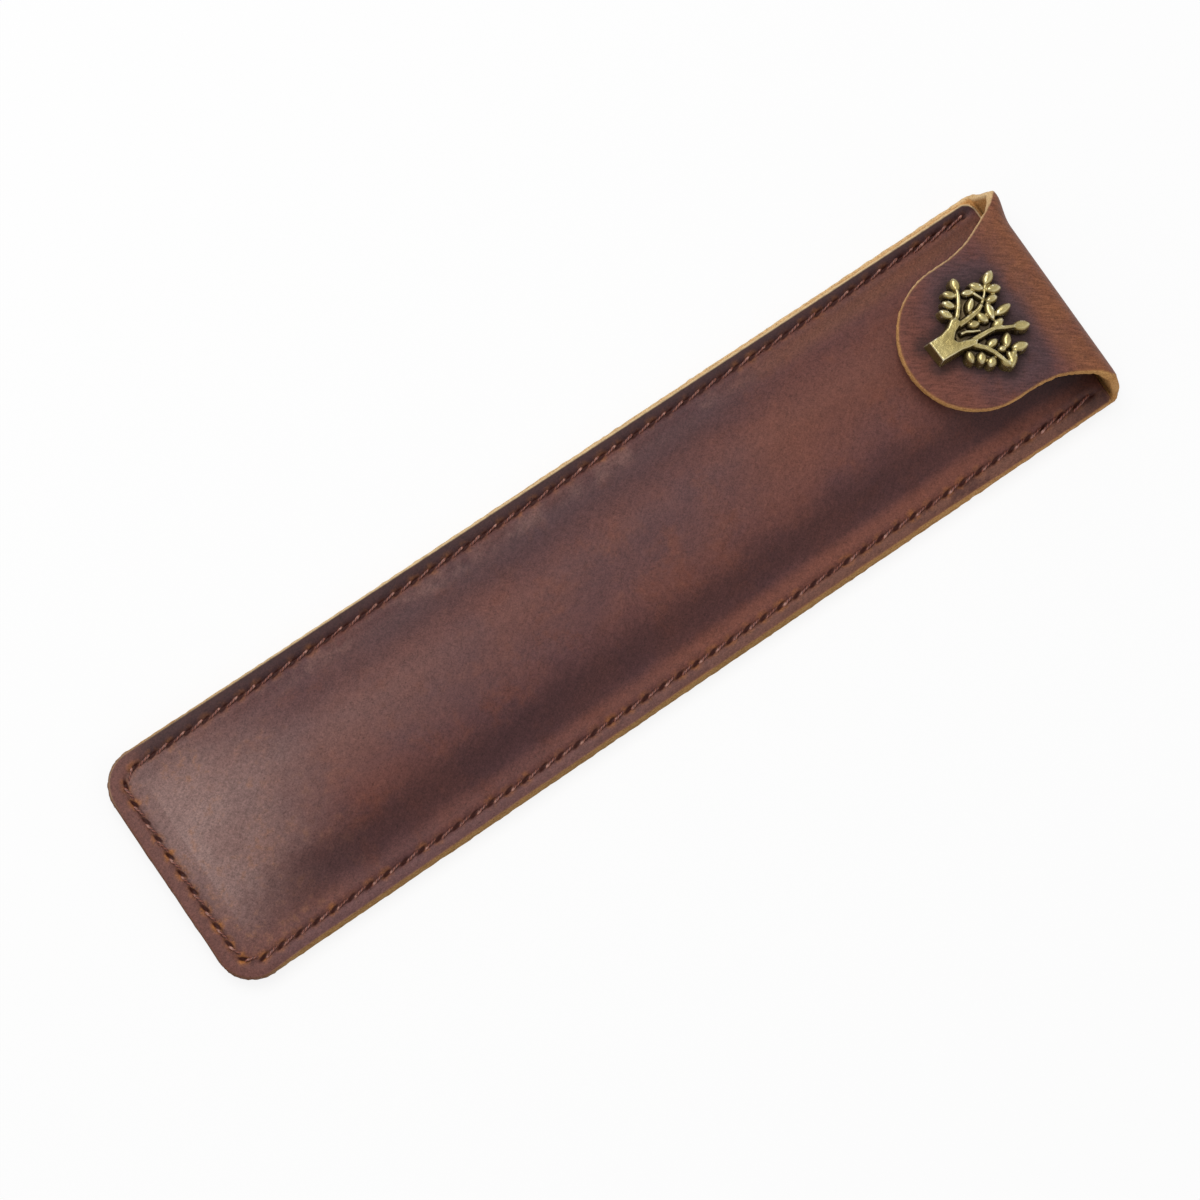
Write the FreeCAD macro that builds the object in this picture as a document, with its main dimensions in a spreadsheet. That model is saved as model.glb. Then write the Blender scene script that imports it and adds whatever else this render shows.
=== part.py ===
import FreeCAD, Part
import math
import os
import Sketcher

# Leather sleeve for one pen: a moulded front panel sewn on a flat back, whose end folds over the mouth
# as a flap that snaps shut. X runs from the tail to the mouth, Z up from the back face, in millimetres.
SIZES = {
    # leather
    "pocket_length": 167.65,
    "sleeve_width": 41.0,
    "mouth_pull_in": 0.8,
    "corner_radius": 6.0,
    "mouth_corner_radius": 2.2,
    "hide_thickness": 1.7,
    "front_thickness": 1.7,
    "pocket_rise": 4.6,
    "sew_margin": 4.8,
    "crown_flat": 3.2,
    "valley_share": 0.42,
    "tail_ramp": 25.0,
    "mouth_clearance": 0.15,
    # fold and flap
    "lower_bend": 0.5,
    "upper_bend": 1.8,
    "snap_gap": 2.5,
    "shoulder_inset": 3.2,
    "flare_inset": 5.0,
    "flap_reach": 29.8,
    "shoulder_height": 7.0,
    "flare_length": 14.5,
    "leather_clearance": 0.1,
    # seam
    "seam_inset": 2.75,
    "seam_end_inset": 2.2,
    "stitch_pitch": 3.27,
    "thread_diameter": 0.6,
    "thread_clearance": 0.03,
    "hole_clearance": 0.07,
    "groove_depth": 0.65,
    "groove_side": 0.15,
    # snap
    "snap_setback": 16.4,
    "post_radius": 1.0,
    "fit_clearance": 0.03,
    "seat_clearance": 0.15,
    "stud_seat_depth": 0.6,
    "stud_flange_radius": 3.6,
    "stud_flange_thickness": 0.5,
    "stud_neck_radius": 1.35,
    "stud_head_radius": 1.75,
    "stud_height": 2.0,
    "stud_head_height": 0.65,
    "clinch_recess": 0.45,
    "clinch_overlap": 0.22,
    "clinch_height": 0.3,
    "rivet_flange_radius": 3.2,
    "rivet_flange_thickness": 0.3,
    "rivet_bore_radius": 0.55,
    "socket_radius": 4.2,
    "socket_plate": 0.5,
    "socket_lift": 0.3,
    "cavity_radius": 2.2,
    "lip_height": 0.2,
    "spring_wire": 0.45,
    "spring_reach": 2.4,
    "spring_grip": 1.5,
    "spring_clearance": 0.05,
    "spring_opening": 40.0,
    "cap_clinch_radius": 1.6,
    "cap_clinch_thickness": 0.3,
    "cap_insert": 0.7,
    # ornament
    "ornament_span": 16.0,
    "ornament_height": 3.2,
    "leaf_height": 2.7,
    "backing_height": 1.4,
    "branch_width": 0.9,
}

doc = FreeCAD.newDocument("pen_sleeve")
sheet = doc.addObject("Spreadsheet::Sheet", "sizes")
for row, (alias, number) in enumerate(SIZES.items(), start=1):
    sheet.set(f"A{row}", alias)
    sheet.set(f"B{row}", str(number))
    sheet.setAlias(f"B{row}", alias)
doc.recompute()


# Value of a formula of sheet sizes
def mm(formula):
    return float(sheet.evalExpression(formula))


# Places shared by several pieces, as formulas of the sheet
hide = "sizes.hide_thickness"
front = "sizes.front_thickness"
half_width = "(sizes.sleeve_width / 2)"
mouth_half = f"({half_width} - sizes.mouth_pull_in)"
crease_half = f"({half_width} - sizes.shoulder_inset)"
tongue_half = f"({crease_half} - sizes.flare_inset)"
lower_outer = f"(sizes.lower_bend + {hide})"
upper_outer = f"(sizes.upper_bend + {hide})"
wall_x = f"((sizes.pocket_length + sizes.mouth_clearance + {lower_outer}) / 2)"
tail_x = f"(-{wall_x})"
mouth_x = f"({tail_x} + sizes.pocket_length)"
snap_x = f"({wall_x} - sizes.snap_setback)"
tip_x = f"({wall_x} - sizes.flap_reach)"
seam_z = f"({hide} + {front})"
under_z = f"({hide} + sizes.pocket_rise)"
crown_z = f"({under_z} + {front})"
seat_z = f"({crown_z} - sizes.stud_seat_depth)"
flap_in_z = f"({crown_z} + sizes.snap_gap)"
flap_top_z = f"({flap_in_z} + {hide})"
diagonal = "sqrt(0.5)"
lower_crease_x = f"({wall_x} - {lower_outer} * (1 - {diagonal}))"
lower_crease_z = f"({lower_outer} * (1 - {diagonal}))"
lower_inner_x = f"({wall_x} - {lower_outer} + sizes.lower_bend * {diagonal})"
lower_inner_z = f"({lower_outer} - sizes.lower_bend * {diagonal})"
upper_crease_x = f"({wall_x} - {upper_outer} * (1 - {diagonal}))"
upper_crease_z = f"({flap_top_z} - {upper_outer} * (1 - {diagonal}))"
upper_inner_x = f"({wall_x} - {upper_outer} + sizes.upper_bend * {diagonal})"
upper_inner_z = f"({flap_top_z} - {upper_outer} + sizes.upper_bend * {diagonal})"
post_bore = "(sizes.post_radius + sizes.fit_clearance)"
leather_bore = "(sizes.post_radius + sizes.leather_clearance)"
clinch_radius = "(sizes.post_radius + sizes.clinch_overlap)"
socket_depth = "(sizes.snap_gap + sizes.stud_seat_depth - sizes.stud_flange_thickness - sizes.socket_lift)"


# Centre of the arc from start to end that bends to the left for turn 1 and to the right for turn -1
def arc_centre(start, end, radius, turn):
    chord = end - start
    half = chord.Length / 2
    reach = math.sqrt(max(radius * radius - half * half, 0.0))
    left = FreeCAD.Vector(-chord.y, chord.x, 0) / chord.Length
    return (start + end) / 2 + left * reach * turn


# Closed loop of corners (x, y), or (x, y, radius, turn) where an arc leads to the corner
def add_loop(sketch, corners):
    first = sketch.GeometryCount
    spots = [FreeCAD.Vector(mm(corner[0]), mm(corner[1]), 0) for corner in corners]
    ends = []
    for place, corner in enumerate(corners):
        start = spots[place - 1]
        end = spots[place]
        if len(corner) == 2:
            sketch.addGeometry(Part.LineSegment(start, end))
            ends.append((1, 2))
            continue
        radius = mm(corner[2])
        middle = arc_centre(start, end, radius, corner[3])
        angles = [math.atan2(spot.y - middle.y, spot.x - middle.x) for spot in (start, end)]
        if corner[3] < 0:
            angles.reverse()
        circle = Part.Circle(middle, FreeCAD.Vector(0, 0, 1), radius)
        sketch.addGeometry(Part.ArcOfCircle(circle, angles[0], angles[1]))
        ends.append((1, 2) if corner[3] > 0 else (2, 1))
    count = len(corners)
    for place, corner in enumerate(corners):
        edge = first + place
        following = (place + 1) % count
        sketch.addConstraint(
            Sketcher.Constraint("Coincident", edge, ends[place][1], first + following, ends[following][0])
        )
        spot = spots[place]
        for kind, axis, value, formula in (
            ("DistanceX", -2, spot.x, corner[0]),
            ("DistanceY", -1, spot.y, corner[1]),
        ):
            if formula == "0":
                sketch.addConstraint(Sketcher.Constraint("PointOnObject", edge, ends[place][1], axis))
                continue
            number = sketch.addConstraint(Sketcher.Constraint(kind, -1, 1, edge, ends[place][1], value))
            sketch.setExpression(f"Constraints[{number}]", formula)
        if len(corner) > 2:
            number = sketch.addConstraint(Sketcher.Constraint("Radius", edge, mm(corner[2])))
            sketch.setExpression(f"Constraints[{number}]", corner[2])


# Circle about a point of the sketch
def add_circle(sketch, x, y, radius):
    spot = FreeCAD.Vector(mm(x), mm(y), 0)
    edge = sketch.addGeometry(Part.Circle(spot, FreeCAD.Vector(0, 0, 1), mm(radius)))
    for kind, axis, value, formula in (("DistanceX", -2, spot.x, x), ("DistanceY", -1, spot.y, y)):
        if formula == "0":
            sketch.addConstraint(Sketcher.Constraint("PointOnObject", edge, 3, axis))
            continue
        number = sketch.addConstraint(Sketcher.Constraint(kind, -1, 1, edge, 3, value))
        sketch.setExpression(f"Constraints[{number}]", formula)
    number = sketch.addConstraint(Sketcher.Constraint("Radius", edge, mm(radius)))
    sketch.setExpression(f"Constraints[{number}]", radius)


def new_sketch(body, name, plane):
    sketch = body.newObject("Sketcher::SketchObject", name)
    planes = {feature.Role: feature for feature in body.Origin.OriginFeatures}
    sketch.AttachmentSupport = [(planes[plane], "")]
    sketch.MapMode = "FlatFace"
    return sketch


# Slab of a profile, centred on the profile's plane
def add_pad(body, sketch, length):
    pad = body.newObject("PartDesign::Pad", sketch.Name + "_pad")
    pad.Profile = sketch
    pad.SideType = "Symmetric"
    pad.setExpression("Length", length)
    doc.recompute()
    return pad


# Cut of a profile right through the body, both ways; a cut that removes nothing is an error
def add_cut(body, sketch):
    before = body.Shape.Volume
    cut = body.newObject("PartDesign::Pocket", sketch.Name + "_cut")
    cut.Profile = sketch
    cut.SideType = "Symmetric"
    cut.Type = "ThroughAll"
    doc.recompute()
    if body.Shape.Volume > before - 1e-6:
        raise ValueError(sketch.Name + " removes nothing")
    return cut


# Round body about the vertical through its placement, from corners (radius, height)
def turned_body(label, corners, x, z):
    body = doc.addObject("PartDesign::Body", label)
    sketch = new_sketch(body, label + "_profile", "XZ_Plane")
    add_loop(sketch, corners)
    doc.recompute()
    turn = body.newObject("PartDesign::Revolution", label + "_turn")
    turn.Profile = sketch
    turn.ReferenceAxis = (sketch, ["V_Axis"])
    turn.Angle = 360
    body.setExpression("Placement.Base.x", x)
    body.setExpression("Placement.Base.z", z)
    doc.recompute()
    return body


def cut_piece(label, base, tool):
    piece = doc.addObject("Part::Cut", label)
    piece.Base = base
    piece.Tool = tool
    doc.recompute()
    return piece


def shape_piece(label, shape):
    piece = doc.addObject("Part::Feature", label)
    piece.Shape = shape
    return piece


# Seam line: down one side, round the tail and up the other side
seam_half = mm(half_width) - mm("sizes.seam_inset")
seam_radius = max(mm("sizes.corner_radius") - mm("sizes.seam_inset"), 0.5)
seam_start = mm(mouth_x) - mm("sizes.seam_end_inset")
seam_tail = mm(tail_x) + mm("sizes.seam_inset")
side_run = seam_start - seam_tail - seam_radius
corner_run = seam_radius * math.pi / 2
tail_run = 2 * (seam_half - seam_radius)
seam_length = 2 * side_run + 2 * corner_run + tail_run
stitch_count = max(round(seam_length / mm("sizes.stitch_pitch")), 8)


def seam_point(distance):
    if distance > seam_length / 2:
        mirrored = seam_point(seam_length - distance)
        return FreeCAD.Vector(mirrored.x, -mirrored.y, 0)
    if distance <= side_run:
        return FreeCAD.Vector(seam_start - distance, seam_half, 0)
    bend_x = seam_tail + seam_radius
    bend_y = seam_half - seam_radius
    angle = (distance - side_run) / seam_radius
    if angle <= math.pi / 2:
        return FreeCAD.Vector(bend_x - seam_radius * math.sin(angle), bend_y + seam_radius * math.cos(angle), 0)
    return FreeCAD.Vector(seam_tail, bend_y - (distance - side_run - corner_run), 0)


seam_holes = [seam_point(seam_length * number / stitch_count) for number in range(stitch_count + 1)]

thread_radius = mm("sizes.thread_diameter") / 2
leg_offset = thread_radius + mm("sizes.thread_clearance")
elbow = thread_radius + mm("sizes.thread_clearance")
hole_radius = leg_offset + thread_radius + mm("sizes.hole_clearance")
groove_half = thread_radius + mm("sizes.groove_side")
groove_floor = mm("sizes.groove_depth") - mm("sizes.thread_clearance")


# Flat band of the groove from the first hole to the last, straight from hole to hole
def groove_band(low, high):
    bends = [seam_holes[0]]
    for before, here, after in zip(seam_holes, seam_holes[1:], seam_holes[2:]):
        if (here - before).cross(after - here).Length > 1e-6:
            bends.append(here)
    bends.append(seam_holes[-1])
    runs = [(end - start).normalize() for start, end in zip(bends, bends[1:])]
    sides = [FreeCAD.Vector(-run.y, run.x, 0) for run in runs]
    outer = [bends[0] - runs[0] * hole_radius + sides[0] * groove_half]
    inner = [bends[0] - runs[0] * hole_radius - sides[0] * groove_half]
    for place in range(1, len(bends) - 1):
        mitre = (sides[place - 1] + sides[place]).normalize()
        reach = groove_half / mitre.dot(sides[place])
        outer.append(bends[place] + mitre * reach)
        inner.append(bends[place] - mitre * reach)
    outer.append(bends[-1] + runs[-1] * hole_radius + sides[-1] * groove_half)
    inner.append(bends[-1] + runs[-1] * hole_radius - sides[-1] * groove_half)
    corners = outer + inner[::-1]
    wire = Part.makePolygon(corners + [corners[0]])
    band = Part.Face(wire).extrude(FreeCAD.Vector(0, 0, high - low))
    band.translate(FreeCAD.Vector(0, 0, low))
    return band


def hole_pins(low, high):
    up = FreeCAD.Vector(0, 0, 1)
    pins = [Part.makeCylinder(hole_radius, high - low, spot + up * low, up) for spot in seam_holes]
    return Part.makeCompound(pins)


# One stitch from hole to hole: a leg down each hole and the run between them
def stitch(start, end, run_z, leg_z):
    along = (end - start).normalize()
    length = (end - start).Length
    up = FreeCAD.Vector(0, 0, 1 if run_z > leg_z else -1)

    def spot(distance, height):
        place = start + along * distance
        return FreeCAD.Vector(place.x, place.y, height)

    near = leg_offset
    far = length - leg_offset
    bend_z = run_z - up.z * elbow
    slack = elbow * (1 - math.sqrt(0.5))
    edges = [
        Part.LineSegment(spot(near, leg_z), spot(near, bend_z)).toShape(),
        Part.Arc(
            spot(near, bend_z), spot(near + slack, run_z - up.z * slack), spot(near + elbow, run_z)
        ).toShape(),
        Part.LineSegment(spot(near + elbow, run_z), spot(far - elbow, run_z)).toShape(),
        Part.Arc(
            spot(far - elbow, run_z), spot(far - slack, run_z - up.z * slack), spot(far, bend_z)
        ).toShape(),
        Part.LineSegment(spot(far, bend_z), spot(far, leg_z)).toShape(),
    ]
    section = Part.Wire([Part.makeCircle(thread_radius, spot(near, leg_z), up)])
    return Part.Wire(edges).makePipeShell([section], True, False)


def thread(run_z, leg_z):
    return Part.makeCompound([stitch(start, end, run_z, leg_z) for start, end in zip(seam_holes, seam_holes[1:])])


# Back panel, flat, with the first half of the lower bend
back_blank = doc.addObject("PartDesign::Body", "back_blank")
back_side = new_sketch(back_blank, "back_side", "XZ_Plane")
add_loop(
    back_side,
    [
        (tail_x, "0"),
        (f"({wall_x} - {lower_outer})", "0"),
        (lower_crease_x, lower_crease_z, lower_outer, 1),
        (lower_inner_x, lower_inner_z),
        (f"({wall_x} - {lower_outer})", hide, "sizes.lower_bend", -1),
        (tail_x, hide),
    ],
)
back_pad = add_pad(back_blank, back_side, "sizes.sleeve_width")
tail_edges = []
for number, edge in enumerate(back_pad.Shape.Edges, start=1):
    middle = edge.CenterOfMass
    upright = edge.BoundBox.ZLength > 0.9 * mm(hide)
    if upright and abs(middle.x - mm(tail_x)) < 1e-4:
        tail_edges.append(f"Edge{number}")
tail_round = back_blank.newObject("PartDesign::Fillet", "tail_round")
tail_round.Base = (back_pad, tail_edges)
tail_round.setExpression("Radius", "sizes.corner_radius")
doc.recompute()
back_holes = shape_piece("back_holes", hole_pins(-1.0, mm(hide) + 1.0))
back_groove = shape_piece("back_groove", groove_band(-1.0, mm("sizes.groove_depth")))
back_pierced = cut_piece("back_pierced", back_blank, back_holes)
back_panel = cut_piece("back_panel", back_pierced, back_groove)

# Fold: the rest of the lower bend, the end wall and the first half of the upper bend
flap_fold = doc.addObject("PartDesign::Body", "flap_fold")
fold_side = new_sketch(flap_fold, "fold_side", "XZ_Plane")
add_loop(
    fold_side,
    [
        (lower_crease_x, lower_crease_z),
        (wall_x, lower_outer, lower_outer, 1),
        (wall_x, f"({flap_top_z} - {upper_outer})"),
        (upper_crease_x, upper_crease_z, upper_outer, 1),
        (upper_inner_x, upper_inner_z),
        (f"({wall_x} - {hide})", f"({flap_top_z} - {upper_outer})", "sizes.upper_bend", -1),
        (f"({wall_x} - {hide})", lower_outer),
        (lower_inner_x, lower_inner_z, "sizes.lower_bend", -1),
    ],
)
add_pad(flap_fold, fold_side, "sizes.sleeve_width")
shoulder_z = f"({upper_crease_z} - sizes.shoulder_height)"
shoulder_radius = "((sizes.shoulder_height^2 + sizes.shoulder_inset^2) / (2 * sizes.shoulder_inset))"
fold_shape = new_sketch(flap_fold, "fold_shape", "YZ_Plane")
add_loop(
    fold_shape,
    [
        (f"(-{half_width} - 4)", "-4"),
        (f"({half_width} + 4)", "-4"),
        (f"({half_width} + 4)", f"({flap_top_z} + 4)"),
        (f"(-{half_width} - 4)", f"({flap_top_z} + 4)"),
    ],
)
add_loop(
    fold_shape,
    [
        (f"(-{half_width})", "-2"),
        (half_width, "-2"),
        (half_width, shoulder_z),
        (crease_half, upper_crease_z, shoulder_radius, 1),
        (crease_half, f"({flap_top_z} + 2)"),
        (f"(-{crease_half})", f"({flap_top_z} + 2)"),
        (f"(-{crease_half})", upper_crease_z),
        (f"(-{half_width})", shoulder_z, shoulder_radius, 1),
    ],
)
doc.recompute()
add_cut(flap_fold, fold_shape)

# Flap tongue: the rest of the upper bend and the rounded tongue with its rivet hole
flap_tongue = doc.addObject("PartDesign::Body", "flap_tongue")
tongue_side = new_sketch(flap_tongue, "tongue_side", "XZ_Plane")
add_loop(
    tongue_side,
    [
        (upper_crease_x, upper_crease_z),
        (f"({wall_x} - {upper_outer})", flap_top_z, upper_outer, 1),
        (tip_x, flap_top_z),
        (tip_x, flap_in_z),
        (f"({wall_x} - {upper_outer})", flap_in_z),
        (upper_inner_x, upper_inner_z, "sizes.upper_bend", -1),
    ],
)
add_pad(flap_tongue, tongue_side, f"(2 * {crease_half})")
flare_radius = "((sizes.flare_length^2 + sizes.flare_inset^2) / (2 * sizes.flare_inset))"
flare_x = f"({upper_crease_x} - sizes.flare_length)"
tip_start_x = f"({tip_x} + {tongue_half})"
tongue_shape = new_sketch(flap_tongue, "tongue_shape", "XY_Plane")
add_loop(
    tongue_shape,
    [
        (f"({tip_x} - 4)", f"(-{crease_half} - 4)"),
        (f"({wall_x} + 4)", f"(-{crease_half} - 4)"),
        (f"({wall_x} + 4)", f"({crease_half} + 4)"),
        (f"({tip_x} - 4)", f"({crease_half} + 4)"),
    ],
)
add_loop(
    tongue_shape,
    [
        (f"({wall_x} + 2)", f"(-{crease_half})"),
        (f"({wall_x} + 2)", crease_half),
        (upper_crease_x, crease_half),
        (flare_x, tongue_half, flare_radius, -1),
        (tip_start_x, tongue_half),
        (tip_x, "0", tongue_half, 1),
        (tip_start_x, f"(-{tongue_half})", tongue_half, 1),
        (flare_x, f"(-{tongue_half})"),
        (upper_crease_x, f"(-{crease_half})", flare_radius, -1),
    ],
)
doc.recompute()
add_cut(flap_tongue, tongue_shape)
tongue_hole = new_sketch(flap_tongue, "tongue_hole", "XY_Plane")
add_circle(tongue_hole, snap_x, "0", leather_bore)
doc.recompute()
add_cut(flap_tongue, tongue_hole)

# Front panel: outline, moulded body, seam holes, groove and snap seat
front_outline = doc.addObject("PartDesign::Body", "front_outline")
front_shape = new_sketch(front_outline, "front_shape", "XY_Plane")
round_y = f"({half_width} - sizes.corner_radius)"
round_x = f"({tail_x} + sizes.corner_radius)"
mouth_round_x = f"({mouth_x} - sizes.mouth_corner_radius)"
mouth_round_y = f"({mouth_half} - sizes.mouth_corner_radius)"
add_loop(
    front_shape,
    [
        (round_x, half_width),
        (tail_x, round_y, "sizes.corner_radius", 1),
        (tail_x, f"(-{round_y})"),
        (round_x, f"(-{half_width})", "sizes.corner_radius", 1),
        (mouth_round_x, f"(-{mouth_half})"),
        (mouth_x, f"(-{mouth_round_y})", "sizes.mouth_corner_radius", 1),
        (mouth_x, mouth_round_y),
        (mouth_round_x, mouth_half, "sizes.mouth_corner_radius", 1),
    ],
)
add_pad(front_outline, front_shape, f"(2 * {crown_z} + 4)")


# Cross-section of the moulded leather at x: flat margins, a hollow and a crown on each side
def moulded_section(x, rise):
    thickness = mm(front)
    base = mm(hide)
    edge = mm(half_width) + 2.0
    foot = mm(half_width) - mm("sizes.sew_margin")
    flat = mm("sizes.crown_flat")
    run = foot - flat
    slope = 2 * math.atan2(rise, run)
    radii = run / math.sin(slope) - thickness
    valley = radii * mm("sizes.valley_share")
    crown = radii - valley

    def spot(y, z):
        return FreeCAD.Vector(x, y, z)

    def half_face(lift, side):
        valley_radius = valley + thickness - lift
        crown_radius = crown + lift
        valley_z = base + thickness + valley
        crown_z = base + rise - crown

        def on_valley(angle):
            return spot(side * (foot - valley_radius * math.sin(angle)), valley_z - valley_radius * math.cos(angle))

        def on_crown(angle):
            return spot(side * (flat + crown_radius * math.sin(angle)), crown_z + crown_radius * math.cos(angle))

        return [
            (spot(side * edge, base + lift), None, spot(side * foot, base + lift)),
            (on_valley(0), on_valley(slope / 2), on_valley(slope)),
            (on_crown(slope), on_crown(slope / 2), on_crown(0)),
        ]

    def face_steps(lift):
        rising = half_face(lift, 1)
        falling = [(end, middle, start) for start, middle, end in half_face(lift, -1)[::-1]]
        return rising + [(rising[-1][2], None, falling[0][0])] + falling

    upper = face_steps(thickness)
    lower = [(end, middle, start) for start, middle, end in face_steps(0.0)[::-1]]
    steps = upper + [(upper[-1][2], None, lower[0][0])] + lower + [(lower[-1][2], None, upper[0][0])]
    edges = []
    for start, middle, end in steps:
        if middle is None:
            edges.append(Part.LineSegment(start, end).toShape())
        else:
            edges.append(Part.Arc(start, middle, end).toShape())
    return Part.Wire(edges)


ramp_steps = 6
least_rise = 0.03
ramp_start = mm(tail_x) + mm("sizes.sew_margin")
sections = [moulded_section(mm(tail_x) - 2.0, least_rise)]
for step in range(ramp_steps + 1):
    share = step / ramp_steps
    rise = least_rise + (mm("sizes.pocket_rise") - least_rise) * (1 - math.cos(math.pi * share)) / 2
    sections.append(moulded_section(ramp_start + share * mm("sizes.tail_ramp"), rise))
sections.append(moulded_section(mm(mouth_x) + 2.0, mm("sizes.pocket_rise")))
front_mould = shape_piece("front_mould", Part.makeLoft(sections, True, True))

front_blank = doc.addObject("Part::Common", "front_blank")
front_blank.Base = front_mould
front_blank.Tool = front_outline
doc.recompute()
front_holes = shape_piece("front_holes", hole_pins(mm(hide) - 1.0, mm(seam_z) + 1.0))
front_groove = shape_piece("front_groove", groove_band(mm(seam_z) - mm("sizes.groove_depth"), mm(seam_z) + 1.0))
front_pierced = cut_piece("front_pierced", front_blank, front_holes)
front_grooved = cut_piece("front_grooved", front_pierced, front_groove)
stud_seat = "(sizes.stud_flange_radius + sizes.seat_clearance)"
rivet_seat = "(sizes.rivet_flange_radius + sizes.seat_clearance)"
seat_level = f"({front} - sizes.stud_seat_depth)"
seat_cutter = turned_body(
    "seat_cutter",
    [
        ("0", "-2"),
        (rivet_seat, "-2"),
        (rivet_seat, "0"),
        (leather_bore, "0"),
        (leather_bore, seat_level),
        (stud_seat, seat_level),
        (stud_seat, f"({front} + 2)"),
        ("0", f"({front} + 2)"),
    ],
    snap_x,
    under_z,
)
front_panel = cut_piece("front_panel", front_grooved, seat_cutter)

# Threads
needle_thread = shape_piece(
    "needle_thread", thread(mm(seam_z) - groove_floor + thread_radius, mm(hide) + mm("sizes.thread_clearance"))
)
bobbin_thread = shape_piece(
    "bobbin_thread", thread(groove_floor - thread_radius, mm(hide) - mm("sizes.thread_clearance"))
)

# Snap on the front panel
stud_top = "sizes.stud_height"
recess_z = f"({stud_top} - sizes.clinch_recess)"
recess_radius = f"({clinch_radius} + sizes.fit_clearance)"
snap_stud = turned_body(
    "snap_stud",
    [
        (post_bore, "0"),
        ("sizes.stud_flange_radius", "0"),
        ("sizes.stud_flange_radius", "sizes.stud_flange_thickness"),
        ("sizes.stud_neck_radius", "sizes.stud_flange_thickness"),
        ("sizes.stud_neck_radius", f"({stud_top} - sizes.stud_head_height)"),
        ("sizes.stud_head_radius", f"({stud_top} - sizes.stud_head_height * 0.56)"),
        ("sizes.stud_head_radius", f"({stud_top} - sizes.stud_head_height * 0.3)"),
        ("(sizes.stud_head_radius - 0.25)", stud_top),
        (recess_radius, stud_top),
        (recess_radius, recess_z),
        (post_bore, recess_z),
    ],
    snap_x,
    seat_z,
)
clinch_z = f"({seat_level} + {recess_z})"
stud_rivet = turned_body(
    "stud_rivet",
    [
        ("sizes.rivet_bore_radius", "-sizes.rivet_flange_thickness"),
        ("sizes.rivet_flange_radius", "-sizes.rivet_flange_thickness"),
        ("sizes.rivet_flange_radius", "0"),
        ("sizes.post_radius", "0"),
        ("sizes.post_radius", clinch_z),
        (clinch_radius, clinch_z),
        (clinch_radius, f"({clinch_z} + sizes.clinch_height)"),
        ("sizes.rivet_bore_radius", f"({clinch_z} + sizes.clinch_height)"),
    ],
    snap_x,
    under_z,
)

# Snap under the flap
lip_z = f"(sizes.lip_height - {socket_depth})"
spring_room = f"({lip_z} + sizes.spring_wire + 2 * sizes.spring_clearance)"
groove_reach = "(sizes.spring_reach + sizes.spring_clearance)"
snap_socket = turned_body(
    "snap_socket",
    [
        (post_bore, "0"),
        (post_bore, "-sizes.socket_plate"),
        ("sizes.cavity_radius", "-sizes.socket_plate"),
        ("sizes.cavity_radius", spring_room),
        (groove_reach, spring_room),
        (groove_reach, lip_z),
        ("sizes.cavity_radius", lip_z),
        ("sizes.cavity_radius", f"(-{socket_depth})"),
        ("(sizes.socket_radius - 0.3)", f"(-{socket_depth})"),
        ("sizes.socket_radius", f"(0.3 - {socket_depth})"),
        ("sizes.socket_radius", "0"),
    ],
    snap_x,
    flap_in_z,
)

# Spring: an open oval of wire that reaches into the groove at its ends and grips with its sides
wire_radius = mm("sizes.spring_wire") / 2
bow_radius = mm("sizes.spring_grip") + wire_radius
bow_x = mm("sizes.spring_reach") - wire_radius - bow_radius
opening = math.radians(mm("sizes.spring_opening")) / 2


def bow_spot(side, angle):
    return FreeCAD.Vector(side * bow_x + bow_radius * math.cos(angle), bow_radius * math.sin(angle), 0)


gap_angle = math.pi - opening
quarter = math.pi / 2
near_middle = (gap_angle + quarter) / 2
spring_path = Part.Wire(
    [
        Part.Arc(bow_spot(-1, gap_angle), bow_spot(-1, near_middle), bow_spot(-1, quarter)).toShape(),
        Part.LineSegment(bow_spot(-1, quarter), bow_spot(1, quarter)).toShape(),
        Part.Arc(bow_spot(1, quarter), bow_spot(1, 0), bow_spot(1, -quarter)).toShape(),
        Part.LineSegment(bow_spot(1, -quarter), bow_spot(-1, -quarter)).toShape(),
        Part.Arc(bow_spot(-1, -quarter), bow_spot(-1, -near_middle), bow_spot(-1, -gap_angle)).toShape(),
    ]
)
path_start = FreeCAD.Vector(math.sin(gap_angle), -math.cos(gap_angle), 0)
spring_section = Part.Wire([Part.makeCircle(wire_radius, bow_spot(-1, gap_angle), path_start)])
socket_spring = shape_piece("socket_spring", spring_path.makePipeShell([spring_section], True, False))
socket_spring.setExpression("Placement.Base.x", snap_x)
spring_level = f"({lip_z} + sizes.spring_clearance + sizes.spring_wire / 2)"
socket_spring.setExpression("Placement.Base.z", f"{flap_in_z} + {spring_level}")

insert_z = f"({hide} + sizes.cap_insert)"
cap_rivet = turned_body(
    "cap_rivet",
    [
        ("0", f"(-sizes.socket_plate - sizes.cap_clinch_thickness)"),
        ("sizes.cap_clinch_radius", f"(-sizes.socket_plate - sizes.cap_clinch_thickness)"),
        ("sizes.cap_clinch_radius", "-sizes.socket_plate"),
        ("sizes.post_radius", "-sizes.socket_plate"),
        ("sizes.post_radius", insert_z),
        ("0", insert_z),
    ],
    snap_x,
    flap_in_z,
)

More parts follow.
